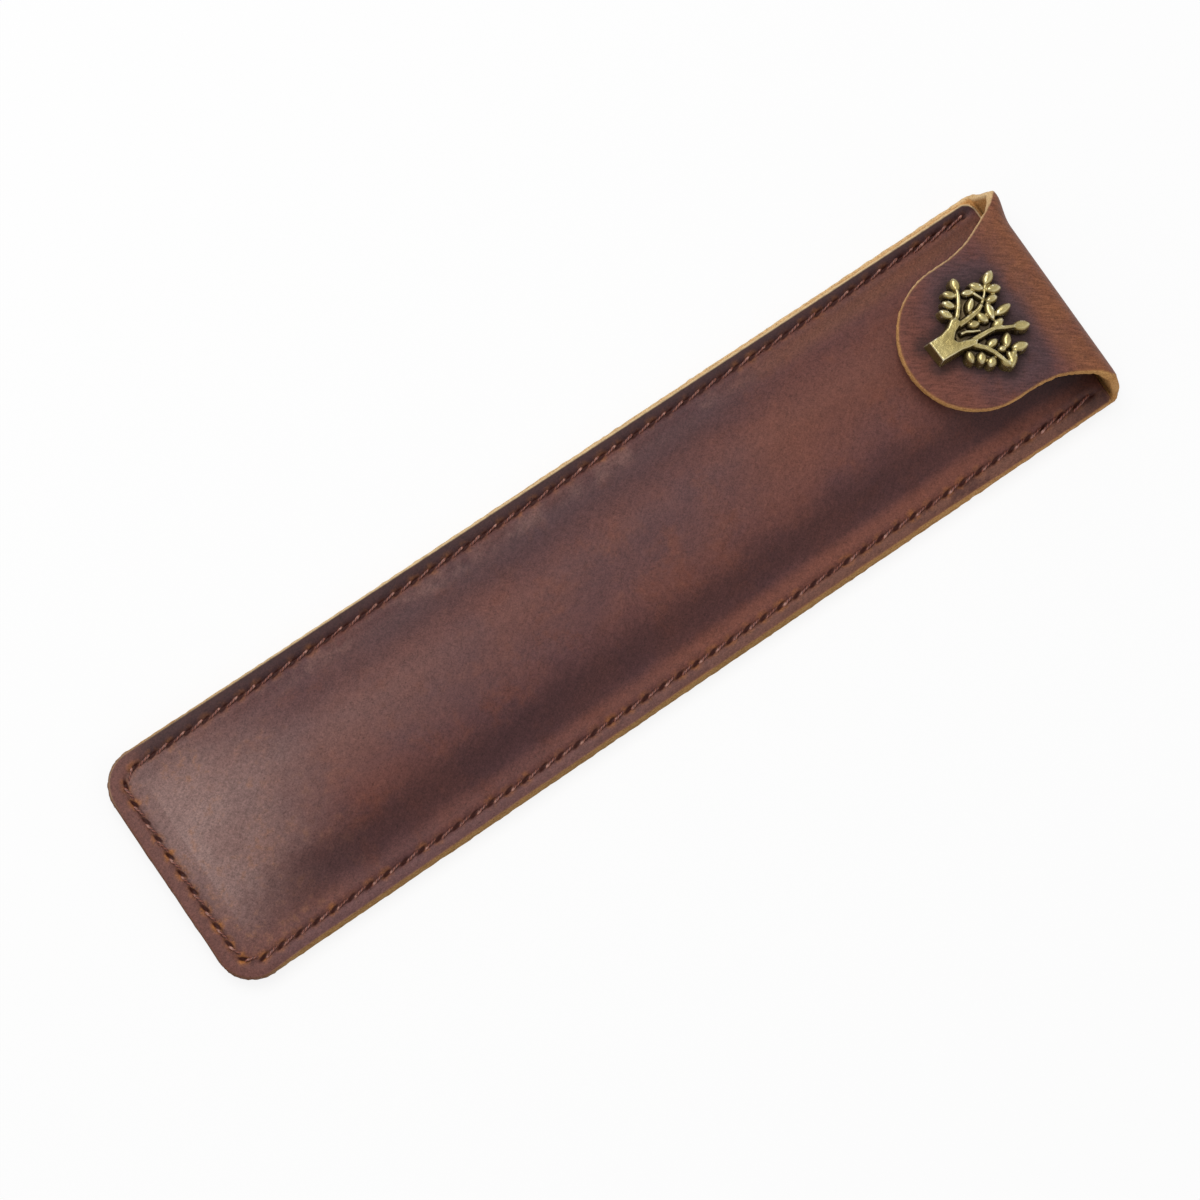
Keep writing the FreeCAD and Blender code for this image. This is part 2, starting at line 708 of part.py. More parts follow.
# Ornament: a cast tree that lies along the flap, its trunk towards the tip. The layout is drawn for a
# span of 16 and scaled to its size.
tree_scale = mm("sizes.ornament_span") / 16.0
trunk_line = [(-8.9, 2.7), (-6.5, 2.5), (-4.9, 2.9), (-3.7, 3.7), (-2.9, 3.6), (-2.6, 2.6), (-3.0, 2.2)]
trunk_line += [(-4.2, 1.7), (-5.1, 0.8), (-4.8, 0.1), (-3.7, -0.3), (-2.5, -0.8), (-2.0, -1.4), (-2.5, -1.9)]
trunk_line += [(-3.9, -1.6), (-5.0, -1.3), (-6.8, -1.2), (-8.7, -1.2)]
backing_line = [(-3.6, 3.4), (-3.5, 4.4), (-2.6, 5.2), (-2.0, 5.9), (-1.1, 6.8), (0.1, 7.5), (1.3, 6.1)]
backing_line += [(2.6, 6.1), (4.0, 5.4), (4.5, 4.6), (4.3, 2.8), (3.7, 2.3), (3.2, 0.9), (3.4, -0.2)]
backing_line += [(3.3, -1.7), (1.8, -1.6), (-0.4, -1.5), (0.4, -3.1), (1.9, -3.9), (1.8, -5.3), (1.8, -6.3)]
backing_line += [(0.8, -7.1), (-0.5, -5.6), (-1.8, -5.1), (-2.5, -3.6), (-4.4, -2.7), (-3.9, -1.2), (-4.6, 0.2)]
# branches: share of the branch width, line of points
branches = [
    (0.9, [(-3.4, 3.0), (-2.5, 3.6), (-1.4, 4.8), (-0.6, 6.0), (-0.2, 6.8), (-0.1, 7.4)]),
    (1.0, [(-3.2, 2.3), (-1.8, 2.3), (-0.3, 2.4), (1.0, 2.6), (2.1, 3.2), (3.2, 4.1), (4.5, 5.6)]),
    (1.0, [(-3.0, -0.9), (-1.4, -1.0), (0.2, -1.1), (1.5, -1.3), (2.7, -2.0), (4.5, -2.9)]),
    (1.0, [(-3.6, -0.9), (-2.6, -2.0), (-1.6, -3.1), (-0.9, -4.4), (-0.5, -5.7), (-0.2, -6.9), (0.2, -7.5)]),
    (0.6, [(1.8, 5.4), (2.2, 4.4), (2.6, 3.5)]),
    (0.6, [(-3.8, 1.0), (-2.7, 0.8), (-1.7, 0.2), (-0.5, -0.4)]),
    (0.7, [(1.2, -6.6), (1.9, -6.1), (2.5, -5.8)]),
]
# leaves: middle x, middle y, direction in degrees, length, width
leaves = [
    (0.2, 7.9, 75, 2.1, 1.3), (-1.6, 7.0, 135, 2.0, 1.2), (-2.3, 6.0, 126, 2.1, 1.2), (-3.7, 4.8, 118, 2.2, 1.1),
    (5.3, 6.0, 30, 2.4, 1.3), (5.0, 4.1, -24, 2.2, 1.3), (2.9, 5.8, 130, 2.2, 1.2), (1.1, 5.8, 155, 1.9, 0.9),
    (3.8, 2.9, -9, 1.8, 1.1), (2.4, 1.4, -103, 2.7, 1.2), (0.3, 3.9, 40, 2.3, 1.0), (0.8, 1.2, -72, 2.0, 1.2),
    (-1.0, 1.1, -23, 1.7, 1.1), (4.3, 0.5, 2, 2.8, 1.2), (2.2, -1.0, 19, 2.3, 1.2), (5.2, -3.2, -25, 2.6, 1.4),
    (1.9, -3.9, 51, 2.3, 1.2), (3.1, -5.8, -18, 2.5, 1.3), (-0.3, -3.0, 4, 1.8, 1.1), (0.5, -4.6, -15, 1.2, 0.9),
    (1.0, -6.8, -133, 2.7, 1.2), (-4.5, -2.9, -102, 1.8, 1.1), (-3.1, -4.0, -124, 1.7, 1.3),
    (-2.1, -5.4, -148, 1.5, 1.3), (-0.3, -6.8, -60, 1.6, 0.9), (0.9, -6.4, -93, 1.8, 0.9),
]


def tree_spot(x, y):
    return FreeCAD.Vector(x * tree_scale, y * tree_scale, 0)


def raised(wire, height):
    return Part.Face(wire).extrude(FreeCAD.Vector(0, 0, height))


def closed_line(line):
    spots = [tree_spot(x, y) for x, y in line]
    return Part.makePolygon(spots + [spots[0]])


# Tapering bar along a line of points
def branch_bar(share, line):
    spots = [tree_spot(x, y) for x, y in line]
    wide = share * mm("sizes.branch_width") / 2
    runs = [(end - start).normalize() for start, end in zip(spots, spots[1:])]
    ways = [runs[0]] + [(a + b).normalize() for a, b in zip(runs, runs[1:])] + [runs[-1]]
    left = []
    right = []
    for place, (spot, way) in enumerate(zip(spots, ways)):
        half = wide * (1 - 0.45 * place / (len(spots) - 1))
        side = FreeCAD.Vector(-way.y, way.x, 0) * half
        left.append(spot + side)
        right.append(spot - side)
    corners = left + right[::-1]
    return Part.makePolygon(corners + [corners[0]])


# Almond of two arcs
def leaf_blade(x, y, direction, length, width):
    middle = tree_spot(x, y)
    angle = math.radians(direction)
    way = FreeCAD.Vector(math.cos(angle), math.sin(angle), 0)
    side = FreeCAD.Vector(-way.y, way.x, 0) * width * tree_scale / 2
    tip = middle + way * length * tree_scale / 2
    stem = middle - way * length * tree_scale / 2
    return Part.Wire([Part.Arc(stem, middle + side, tip).toShape(), Part.Arc(tip, middle - side, stem).toShape()])


tree = raised(closed_line(trunk_line), mm("sizes.ornament_height"))
castings = [raised(closed_line(backing_line), mm("sizes.backing_height"))]
castings += [raised(branch_bar(*branch), mm("sizes.ornament_height") * 0.94) for branch in branches]
castings += [raised(leaf_blade(*leaf), mm("sizes.leaf_height")) for leaf in leaves]
tree = tree.multiFuse(castings)
socket_hole = Part.makeCylinder(mm(post_bore), mm("sizes.cap_insert") + 0.1)
ornament = shape_piece("ornament", tree.cut(socket_hole).removeSplitter())
ornament.setExpression("Placement.Base.x", snap_x)
ornament.setExpression("Placement.Base.z", flap_top_z)

doc.recompute()

nodes = [
    back_panel,
    front_panel,
    flap_fold,
    flap_tongue,
    needle_thread,
    bobbin_thread,
    snap_stud,
    stud_rivet,
    snap_socket,
    socket_spring,
    cap_rivet,
    ornament,
]
for thing in doc.Objects:
    if "Invalid" in thing.State or "Error" in thing.State:
        raise ValueError(f"{thing.Label} is {thing.State}")
os.makedirs("parts", exist_ok=True)
for node in nodes:
    shape = node.Shape
    if shape.isNull() or not shape.isValid():
        raise ValueError(f"{node.Label} has no valid shape")
    if not shape.Solids:
        raise ValueError(f"{node.Label} has no solid")
    shape.exportStep(f"parts/{node.Label}.step")
    box = shape.BoundBox
    print(
        f"{node.Label}: {len(shape.Solids)} solids, {shape.Volume:.2f} mm3, "
        f"x {box.XMin:.2f}..{box.XMax:.2f} y {box.YMin:.2f}..{box.YMax:.2f} z {box.ZMin:.2f}..{box.ZMax:.2f}"
    )
print(f"{stitch_count} stitches, {seam_length / stitch_count:.3f} mm apart")
print(
    f"creases: lower {mm(lower_crease_x):.4f} {mm(lower_crease_z):.4f}, "
    f"upper {mm(upper_crease_x):.4f} {mm(upper_crease_z):.4f}; snap at {mm(snap_x):.3f}"
)
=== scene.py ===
import math
import bmesh
import bpy
from mathutils import Matrix, Vector, bvhtree, kdtree, noise


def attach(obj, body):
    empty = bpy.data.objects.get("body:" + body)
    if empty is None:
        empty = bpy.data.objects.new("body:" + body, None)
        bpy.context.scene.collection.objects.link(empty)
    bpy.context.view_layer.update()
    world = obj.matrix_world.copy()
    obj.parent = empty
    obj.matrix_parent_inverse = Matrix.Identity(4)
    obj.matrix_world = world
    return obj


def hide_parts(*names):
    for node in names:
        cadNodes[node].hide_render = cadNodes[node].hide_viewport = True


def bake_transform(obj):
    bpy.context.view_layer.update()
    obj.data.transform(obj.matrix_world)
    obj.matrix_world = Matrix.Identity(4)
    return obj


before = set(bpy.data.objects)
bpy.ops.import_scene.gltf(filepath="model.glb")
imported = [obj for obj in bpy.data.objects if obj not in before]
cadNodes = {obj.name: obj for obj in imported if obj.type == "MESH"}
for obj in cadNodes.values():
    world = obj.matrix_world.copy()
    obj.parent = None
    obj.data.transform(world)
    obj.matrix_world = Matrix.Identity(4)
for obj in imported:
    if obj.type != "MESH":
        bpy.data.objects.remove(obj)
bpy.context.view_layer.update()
print("frame loaded")


class Wire:  # one shader socket that can stand in a sum
    def __init__(self, tree, socket=None):
        self.tree = tree
        self.socket = socket

    def node(self, kind, settings, sockets, out=0):
        made = self.tree.nodes.new(kind)
        for key, value in settings.items():
            setattr(made, key, value)
        for key, value in sockets.items():
            if isinstance(value, Wire):
                self.tree.links.new(value.socket, made.inputs[key])
            else:
                made.inputs[key].default_value = value
        return Wire(self.tree, made.outputs[out])

    def sum(self, operation, first, second=0.0):
        return self.node("ShaderNodeMath", {"operation": operation}, {0: first, 1: second})

    def __add__(self, other):
        return self.sum("ADD", self, other)

    def __radd__(self, other):
        return self.sum("ADD", other, self)

    def __sub__(self, other):
        return self.sum("SUBTRACT", self, other)

    def __rsub__(self, other):
        return self.sum("SUBTRACT", other, self)

    def __mul__(self, other):
        return self.sum("MULTIPLY", self, other)

    def __rmul__(self, other):
        return self.sum("MULTIPLY", other, self)

    def __pow__(self, other):
        return self.sum("POWER", self, other)

    def size(self):
        return self.sum("ABSOLUTE", self)

    def fraction(self):
        return self.sum("FRACT", self)

    def step(self, low, high, start=0.0, end=1.0):  # soft step between two levels
        settings = {"interpolation_type": "SMOOTHSTEP"}
        return self.node("ShaderNodeMapRange", settings, {0: self, 1: low, 2: high, 3: start, 4: end})

    def bell(self, centre, width):  # 1 at centre, fading to 0 at width
        return (self - centre).size().step(0.0, width, 1.0, 0.0)

    def cloud(self, scale, detail=3.0, rough=0.55, bend=0.0):  # noise value about 0.5
        sockets = {"Vector": self, "Scale": scale, "Detail": detail, "Roughness": rough, "Distortion": bend}
        return self.node("ShaderNodeTexNoise", {}, sockets)

    def stretched(self, scale):
        return self.node("ShaderNodeMapping", {}, {"Vector": self, "Scale": scale})

    def streaked(self, turn, scale):  # turned first, then drawn out along the turned axes
        sockets = {"Vector": self, "Rotation": (0.0, 0.0, turn), "Scale": scale}
        return self.node("ShaderNodeMapping", {"vector_type": "TEXTURE"}, sockets)

    def parts(self):
        split = self.node("ShaderNodeSeparateXYZ", {}, {0: self})
        return [Wire(self.tree, out) for out in split.socket.node.outputs]

    def tint(self, under, over):  # colour over another by this share
        return self.node("ShaderNodeMix", {"data_type": "RGBA"}, {0: self, 6: under, 7: over}, 2)

    def shade(self, colour):  # colour times this value
        settings = {"data_type": "RGBA", "blend_type": "MULTIPLY"}
        return self.node("ShaderNodeMix", settings, {0: 1.0, 6: colour, 7: self}, 2)


def rgb(red, green, blue):  # screen colour 0..255 as a linear colour
    def line(value):
        share = value / 255
        return share / 12.92 if share <= 0.04045 else ((share + 0.055) / 1.055) ** 2.4

    return (line(red), line(green), line(blue), 1.0)


def newPaint(name, roughness=0.5, metallic=0.0, specular=0.5):
    paint = bpy.data.materials.new(name)
    paint.use_nodes = True
    shader = paint.node_tree.nodes["Principled BSDF"]
    shader.inputs["Roughness"].default_value = roughness
    shader.inputs["Metallic"].default_value = metallic
    shader.inputs["Specular IOR Level"].default_value = specular
    return paint, Wire(paint.node_tree), shader


def feed(shader, socket, wire):
    shader.id_data.links.new(wire.socket, shader.inputs[socket])


def attribute(wire, name, out="Fac"):
    return wire.node("ShaderNodeAttribute", {"attribute_name": name}, {}, out)


def objectSpot(wire):
    return wire.node("ShaderNodeTexCoord", {}, {}, "Object")


def bumped(wire, height, strength, distance, under=None):
    sockets = {"Strength": strength, "Distance": distance, "Height": height}
    if under is not None:
        sockets["Normal"] = under
    return wire.node("ShaderNodeBump", {}, sockets)


# meshes are in millimetres until finishPiece
def finishPiece(bm, name, paint, body=None, sharp=35):
    bmesh.ops.scale(bm, vec=(0.001, 0.001, 0.001), verts=bm.verts)
    mesh = bpy.data.meshes.new(name)
    bm.to_mesh(mesh)
    bm.free()
    mesh.materials.append(paint)
    mesh.shade_smooth()
    mesh.set_sharp_from_angle(angle=math.radians(sharp))
    piece = bpy.data.objects.new(name, mesh)
    bpy.context.scene.collection.objects.link(piece)
    if body:
        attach(piece, body)
    return piece


def only(parts, kind):  # the points, lines or faces that an operator made
    return [part for part in parts if isinstance(part, kind)]


def traceOutline(bm, start, moves):  # flat face from straight runs and arcs
    tip = bm.verts.new((*start, 0.0))
    for move in moves:
        if len(move) == 2:
            tip = bmesh.ops.extrude_vert_indiv(bm, verts=[tip])["verts"][0]
            tip.co = (*move, 0.0)
            continue
        middle, turn, steps = move
        angle = math.radians(turn)
        made = bmesh.ops.spin(bm, geom=[tip], cent=(*middle, 0.0), axis=(0, 0, 1), angle=angle, steps=steps)
        tip = only(made["geom_last"], bmesh.types.BMVert)[0]
    bmesh.ops.remove_doubles(bm, verts=bm.verts, dist=1e-4)
    return bmesh.ops.contextual_create(bm, geom=bm.edges[:])["faces"][0]


def leatherSlab(start, moves, thickness, split=None):  # flat leather from z 0 up, cut edges rounded
    bm = bmesh.new()
    face = traceOutline(bm, start, moves)
    made = bmesh.ops.extrude_face_region(bm, geom=[face], use_keep_orig=True)["geom"]
    bmesh.ops.translate(bm, verts=only(made, bmesh.types.BMVert), vec=(0, 0, thickness))
    bmesh.ops.recalc_face_normals(bm, faces=bm.faces)
    level = [edge for edge in bm.edges if abs(edge.verts[0].co.z - edge.verts[1].co.z) < 1e-5]
    if split is not None:
        level = [edge for edge in level if any(abs(vert.co.x - split) > 1e-4 for vert in edge.verts)]
    bmesh.ops.bevel(
        bm, geom=level, offset=sleeve["rim"], offset_type="OFFSET",
        affect="EDGES", segments=2, profile=0.5, material=-1,
    )
    return bm


def spread(low, high, gap):  # places from low to high about gap apart
    count = max(1, round((high - low) / gap))
    return [low + (high - low) * number / count for number in range(count + 1)]


def sliceUp(bm, axis, places):
    normal = Vector((0, 0, 0))
    normal[axis] = 1
    for place in places:
        parts = bm.verts[:] + bm.edges[:] + bm.faces[:]
        bmesh.ops.bisect_plane(bm, geom=parts, plane_co=normal * place, plane_no=normal, dist=1e-4)


def sliceRows(bm, axis, rows):  # each row of cuts: from, to, gap
    for row in rows:
        sliceUp(bm, axis, spread(*row))


def sliceSeam(bm):  # finer cuts along both side seams
    fine = spread(*sleeve["seamCuts"])
    sliceUp(bm, 1, [side * place for side in (1, -1) for place in fine])


def softStep(value, low, high):
    share = min(1.0, max(0.0, (value - low) / (high - low)))
    return share * share * (3 - 2 * share)


def sway(x, y, size, seed):  # slow unevenness between -1 and 1
    return noise.noise(Vector((x / size, y / size, seed)))


def gapFinder(spots):  # tells how far a place is from the nearest of some spots
    near = kdtree.KDTree(len(spots))
    for number, (x, y) in enumerate(spots):
        near.insert((x, y, 0.0), number)
    near.balance()
    return lambda x, y: near.find((x, y, 0.0))[2]


sleeve = {
    "tail": -85.0, "mouth": 82.65, "half": 20.5, "mouthHalf": 19.7, "tailRound": 6.0, "mouthRound": 2.2,
    "lowerMouthHalf": 20.45, "lowerMouthRound": 0.9, "hide": 1.7, "front": 1.7, "rim": 0.36, "snapX": 68.6,
    "seamCuts": (14.3, 18.7, 0.4), "skin": (0.16, 0.01), "cutBand": 0.2,
    "dip": 0.1, "dipSway": 0.06, "dipSize": 5.0, "dipReach": 1.6,  # the face sinks towards a cut edge
    "ragged": 0.11, "raggedSizes": (0.75, 0.3), "raggedFine": 0.7, "raggedCalm": (0.1, 1.0),
}

seam = {
    "half": 17.75, "tail": -82.25, "start": 80.45, "round": 3.25, "count": 110,
    "fade": (-0.6, 0.2), "reach": 2.5,
    "groove": 0.34, "grooveWide": 0.5, "lip": 0.07, "lipGap": 1.15, "lipWide": 0.45,
    "dimple": 0.34, "dimpleLong": 0.95, "dimpleWide": 0.12, "dimpleSlant": 0.29,
}
seam["sideRun"] = seam["start"] - seam["tail"] - seam["round"]
seam["bendRun"] = seam["round"] * math.pi / 2
seam["tailRun"] = 2 * (seam["half"] - seam["round"])
seam["length"] = 2 * seam["sideRun"] + 2 * seam["bendRun"] + seam["tailRun"]
seam["pitch"] = seam["length"] / seam["count"]


def seamPoint(along):
    if along > seam["length"] / 2:
        x, y = seamPoint(seam["length"] - along)
        return x, -y
    if along <= seam["sideRun"]:
        return seam["start"] - along, seam["half"]
    bendX, bendY = seam["tail"] + seam["round"], seam["half"] - seam["round"]
    angle = (along - seam["sideRun"]) / seam["round"]
    if angle <= math.pi / 2:
        return bendX - seam["round"] * math.sin(angle), bendY + seam["round"] * math.cos(angle)
    return seam["tail"], bendY - (along - seam["sideRun"] - seam["bendRun"])


def seamSpot(x, y):  # how far along the seam a place is, and how far inside it
    side = abs(y)
    bendX, bendY = seam["tail"] + seam["round"], seam["half"] - seam["round"]
    if x >= bendX:
        along, inside = seam["start"] - x, seam["half"] - side
    elif side <= bendY:
        along, inside = seam["sideRun"] + seam["bendRun"] + bendY - side, x - seam["tail"]
    else:
        along = seam["sideRun"] + seam["round"] * math.atan2(bendX - x, side - bendY)
        inside = seam["round"] - math.hypot(bendX - x, side - bendY)
    return (along if y >= 0 else seam["length"] - along), inside


def seamPress(x, y):  # how deep the stitches press the leather in
    along, inside = seamSpot(x, y)
    ends = softStep(along, *seam["fade"]) * softStep(seam["length"] - along, *seam["fade"])
    if ends == 0 or abs(inside) > seam["reach"]:
        return 0.0
    off = (along / seam["pitch"] - round(along / seam["pitch"])) * seam["pitch"]
    slant = inside - seam["dimpleSlant"] * off
    groove = seam["groove"] * math.exp(-((inside / seam["grooveWide"]) ** 2))
    hole = seam["dimple"] * math.exp(-(off * off / seam["dimpleLong"] + slant**2 / seam["dimpleWide"]))
    lip = seam["lip"] * math.exp(-(((abs(inside) - seam["lipGap"]) / seam["lipWide"]) ** 2))
    return ends * (groove + hole - lip)


def tagLeather(bm, thickness, grainUp, shift):  # notes of each point's spot on the flat leather
    flat = bm.verts.layers.float_vector.new("flat")
    seamNote = bm.verts.layers.float_vector.new("seam")
    skin = bm.verts.layers.float.new("skin")
    edgeGap = bm.verts.layers.float.new("edgeGap")
    band = sleeve["cutBand"]
    gap = gapFinder([vert.co.xy for vert in bm.verts if band < vert.co.z < thickness - band])
    under, over = (thickness - depth for depth in sleeve["skin"])
    for vert in bm.verts:
        level = vert.co.z if grainUp else thickness - vert.co.z
        along, inside = seamSpot(vert.co.x + shift, vert.co.y)
        vert[flat] = vert.co
        vert[seamNote] = (along / seam["pitch"], inside, 0.0)
        vert[skin] = softStep(level, under, over)
        vert[edgeGap] = gap(vert.co.x, vert.co.y)
    return edgeGap


def edgeDip(gap, x, y):
    share = 1 - softStep(gap, 0.0, sleeve["dipReach"])
    return share * (sleeve["dip"] + sleeve["dipSway"] * sway(x, y, sleeve["dipSize"], 1.0))


def raggedEdge(bm, keep=None):  # the cut edges waver a little, but not where the hide is split
    bm.normal_update()
    slow, fast = sleeve["raggedSizes"]
    for vert in bm.verts:
        waver = noise.noise(vert.co / slow) + sleeve["raggedFine"] * noise.noise(vert.co / fast)
        if keep is not None:
            waver *= softStep(abs(vert.co.x - keep), *sleeve["raggedCalm"])
        vert.co += Vector((vert.normal.x, vert.normal.y, 0.0)) * sleeve["ragged"] * waver


moulding = {
    "rise": 4.6, "tailRise": 0.03, "ramp": 25.0, "sewMargin": 4.8, "crownFlat": 3.2, "valleyShare": 0.42,
    "bulge": 0.16, "bulgeSize": 21.0, "bulgeSides": (8.0, 17.0), "bulgeTail": (-84.0, -70.0),
    "ripple": 0.05, "rippleSize": 7.0, "studPress": 0.72, "studRound": (3.7, 4.9),
    "lowerSlant": 0.4, "slantBand": (18.8, 20.4), "slantTail": (-81.0, -70.0), "slantMouth": (72.0, 45.0),
    "mouthLean": 0.12, "leanLevel": 3.2, "leanRun": (73.0, 82.0),
    "across": [(-13.2, 13.2, 1.3), (-4.9, 4.9, 0.45)],  # finer under the stud
    "along": [(-83.2, -78.4, 0.4), (-77.6, 63.2, 0.8), (63.7, 73.5, 0.45), (74.2, 81.8, 0.8)],
}


def frontHeight(x, y, lift):  # lift is the height above the flesh side
    share = min(1.0, max(0.0, (x - sleeve["tail"] - moulding["sewMargin"]) / moulding["ramp"]))
    rise = moulding["rise"] - moulding["tailRise"]
    rise = moulding["tailRise"] + rise * (1 - math.cos(math.pi * share)) / 2
    thick, base = sleeve["front"], sleeve["hide"]
    foot, flat = sleeve["half"] - moulding["sewMargin"], moulding["crownFlat"]
    slope = 2 * math.atan2(rise, foot - flat)
    radii = (foot - flat) / math.sin(slope) - thick
    valley = radii * moulding["valleyShare"]
    valleyRound, crownRound = valley + thick - lift, radii - valley + lift
    side = abs(y)
    if side >= foot:
        return base + lift
    if side >= foot - valleyRound * math.sin(slope):
        return base + thick + valley - math.sqrt(max(0.0, valleyRound**2 - (foot - side) ** 2))
    if side > flat:
        return base + rise - (radii - valley) + math.sqrt(max(0.0, crownRound**2 - (side - flat) ** 2))
    return base + rise + lift


def frontLeather(paint):
    tail, mouth, half, mouthHalf = (sleeve[key] for key in ("tail", "mouth", "half", "mouthHalf"))
    bend, corner = sleeve["tailRound"], sleeve["mouthRound"]
    lowHalf, lowCorner = sleeve["lowerMouthHalf"], sleeve["lowerMouthRound"]
    moves = [  # a place to go to, or an arc: middle, turn, steps
        (mouth - lowCorner, -lowHalf), ((mouth - lowCorner, lowCorner - lowHalf), 90, 5),
        (mouth, mouthHalf - corner), ((mouth - corner, mouthHalf - corner), 90, 8),
        (tail + bend, half), ((tail + bend, half - bend), 90, 14),
        (tail, bend - half), ((tail + bend, bend - half), 90, 14),
    ]
    bm = leatherSlab((tail + bend, -half), moves, sleeve["front"])
    sliceSeam(bm)
    sliceRows(bm, 1, moulding["across"])
    sliceRows(bm, 0, moulding["along"])
    edgeGap = tagLeather(bm, sleeve["front"], True, 0.0)
    raggedEdge(bm)
    for vert in bm.verts:
        x, y, lift = vert.co
        soft = (1 - softStep(abs(y), *moulding["bulgeSides"])) * softStep(x, *moulding["bulgeTail"])
        swell = moulding["bulge"] * sway(x, y * 1.6, moulding["bulgeSize"], 3.0)
        swell += moulding["ripple"] * sway(x, y, moulding["rippleSize"], 8.0)
        stud = 1 - softStep(math.hypot(x - sleeve["snapX"], y), *moulding["studRound"])
        slant = softStep(-y, *moulding["slantBand"])
        slant *= softStep(x, *moulding["slantTail"]) * softStep(x, *moulding["slantMouth"])
        press = seamPress(x, y) + moulding["studPress"] * stud + edgeDip(vert[edgeGap], x, y)
        share = lift / sleeve["front"]
        z = frontHeight(x, y, lift) + share * (soft * swell - press)
        lean = max(0.0, z - moulding["leanLevel"]) * softStep(x, *moulding["leanRun"])  # under the fold
        vert.co = (x - moulding["mouthLean"] * lean, y + share * moulding["lowerSlant"] * slant, z)
    piece = finishPiece(bm, "frontLeather", paint, "sleeve")
    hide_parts("front_panel")
    print("front leather", len(piece.data.polygons))


fold = {
    "lowerBend": 2.2, "upperBend": 3.5, "wall": 85.0, "top": 12.2, "tip": 55.2, "split": 173.0,
    "shoulder": 168.2, "shoulderRound": 4.0, "shoulderTurn": 30.0, "taper": 12.9, "tongue": 12.3,
    "flareEnd": 195.28, "flex": 1.4, "flapFlex": 2.4,
    "lean": 1.5, "leanRise": 2.5, "leanFall": 8.0, "leanLoss": 0.95, "leanSides": (11.5, 17.5),
    "flapSway": 0.14, "flapSwaySize": 11.0, "flapSwayRun": (184.0, 192.0),
    "backAcross": [(-13.0, 13.0, 2.6)], "flapAcross": [(-18.2, 18.2, 0.65)],
    "backAlong": [
        (1.8, 6.6, 0.4), (7.4, 165.8, 0.8), (166.4, 168.8, 0.4), (169.0, 170.2, 0.1), (170.5, 172.5, 0.4),
    ],
    "flapAlong": [(174.0, 177.4, 0.8), (177.9, 183.2, 0.3)],
}
fold["runs"] = [167.8]  # where back, lower bend, wall and upper bend end, along the hide
fold["runs"].append(fold["runs"][0] + fold["lowerBend"] * math.pi / 2)
fold["runs"].append(fold["runs"][1] + fold["top"] - fold["lowerBend"] - fold["upperBend"])
fold["runs"].append(fold["runs"][2] + fold["upperBend"] * math.pi / 2)
fold["end"] = fold["runs"][3] + fold["wall"] - fold["upperBend"] - fold["tip"]
fold["flapAlong"].append((184.0, fold["end"] - 1.0, 0.6))


def foldLean(run, side):  # the wall leans in over the mouth, but not at the upper corner
    lowerEnd, wallEnd, upperEnd = fold["runs"][1:]
    rise = softStep(run, lowerEnd, wallEnd + fold["leanRise"])
    rise *= 1 - softStep(run, upperEnd, upperEnd + fold["leanFall"])
    return fold["lean"] * rise * (1 - fold["leanLoss"] * softStep(side, *fold["leanSides"]))


def foldPoint(run, side, depth):  # from the flat hide to the folded one; depth is inwards from the grain
    backEnd, lowerEnd, wallEnd, upperEnd = fold["runs"]
    wall, top, lower, upper = fold["wall"], fold["top"], fold["lowerBend"], fold["upperBend"]
    if run <= backEnd:
        return Vector((run + sleeve["tail"], side, depth))
    if run <= lowerEnd:
        angle = (run - backEnd) / lower
        reach = lower - depth
        return Vector((wall - lower + reach * math.sin(angle), side, lower - reach * math.cos(angle)))
    if run <= wallEnd:
        return Vector((wall - depth, side, lower + run - lowerEnd))
    if run <= upperEnd:
        angle = (run - wallEnd) / upper
        reach = upper - depth
        return Vector((wall - upper + reach * math.cos(angle), side, top - upper + reach * math.sin(angle)))
    return Vector((wall - upper - (run - upperEnd), side, top - depth))


def layHide(bm, uneven):
    edgeGap = tagLeather(bm, sleeve["hide"], False, sleeve["tail"])
    raggedEdge(bm, fold["split"])
    for vert in bm.verts:
        run, side, depth = vert.co
        share = 1 - depth / sleeve["hide"]
        depth += share * edgeDip(vert[edgeGap], run, side)
        depth += uneven(run, side, share)
        vert.co = foldPoint(run, side, depth)
        vert.co.x -= foldLean(run, side)
    bmesh.ops.recalc_face_normals(bm, faces=bm.faces)


def shoulderShape():  # the two small arcs of each shoulder, and its half width at any later place
    half, start, bend = sleeve["half"], fold["shoulder"], fold["shoulderRound"]
    turn, taper = math.radians(fold["shoulderTurn"]), math.radians(fold["taper"])
    outer = (start, half - bend)
    inner = (start + 2 * bend * math.sin(turn), half - bend + 2 * bend * math.cos(turn))
    end = (inner[0] - bend * math.sin(taper), inner[1] - bend * math.cos(taper))
    return outer, inner, lambda run: end[1] - (run - end[0]) * math.tan(taper)


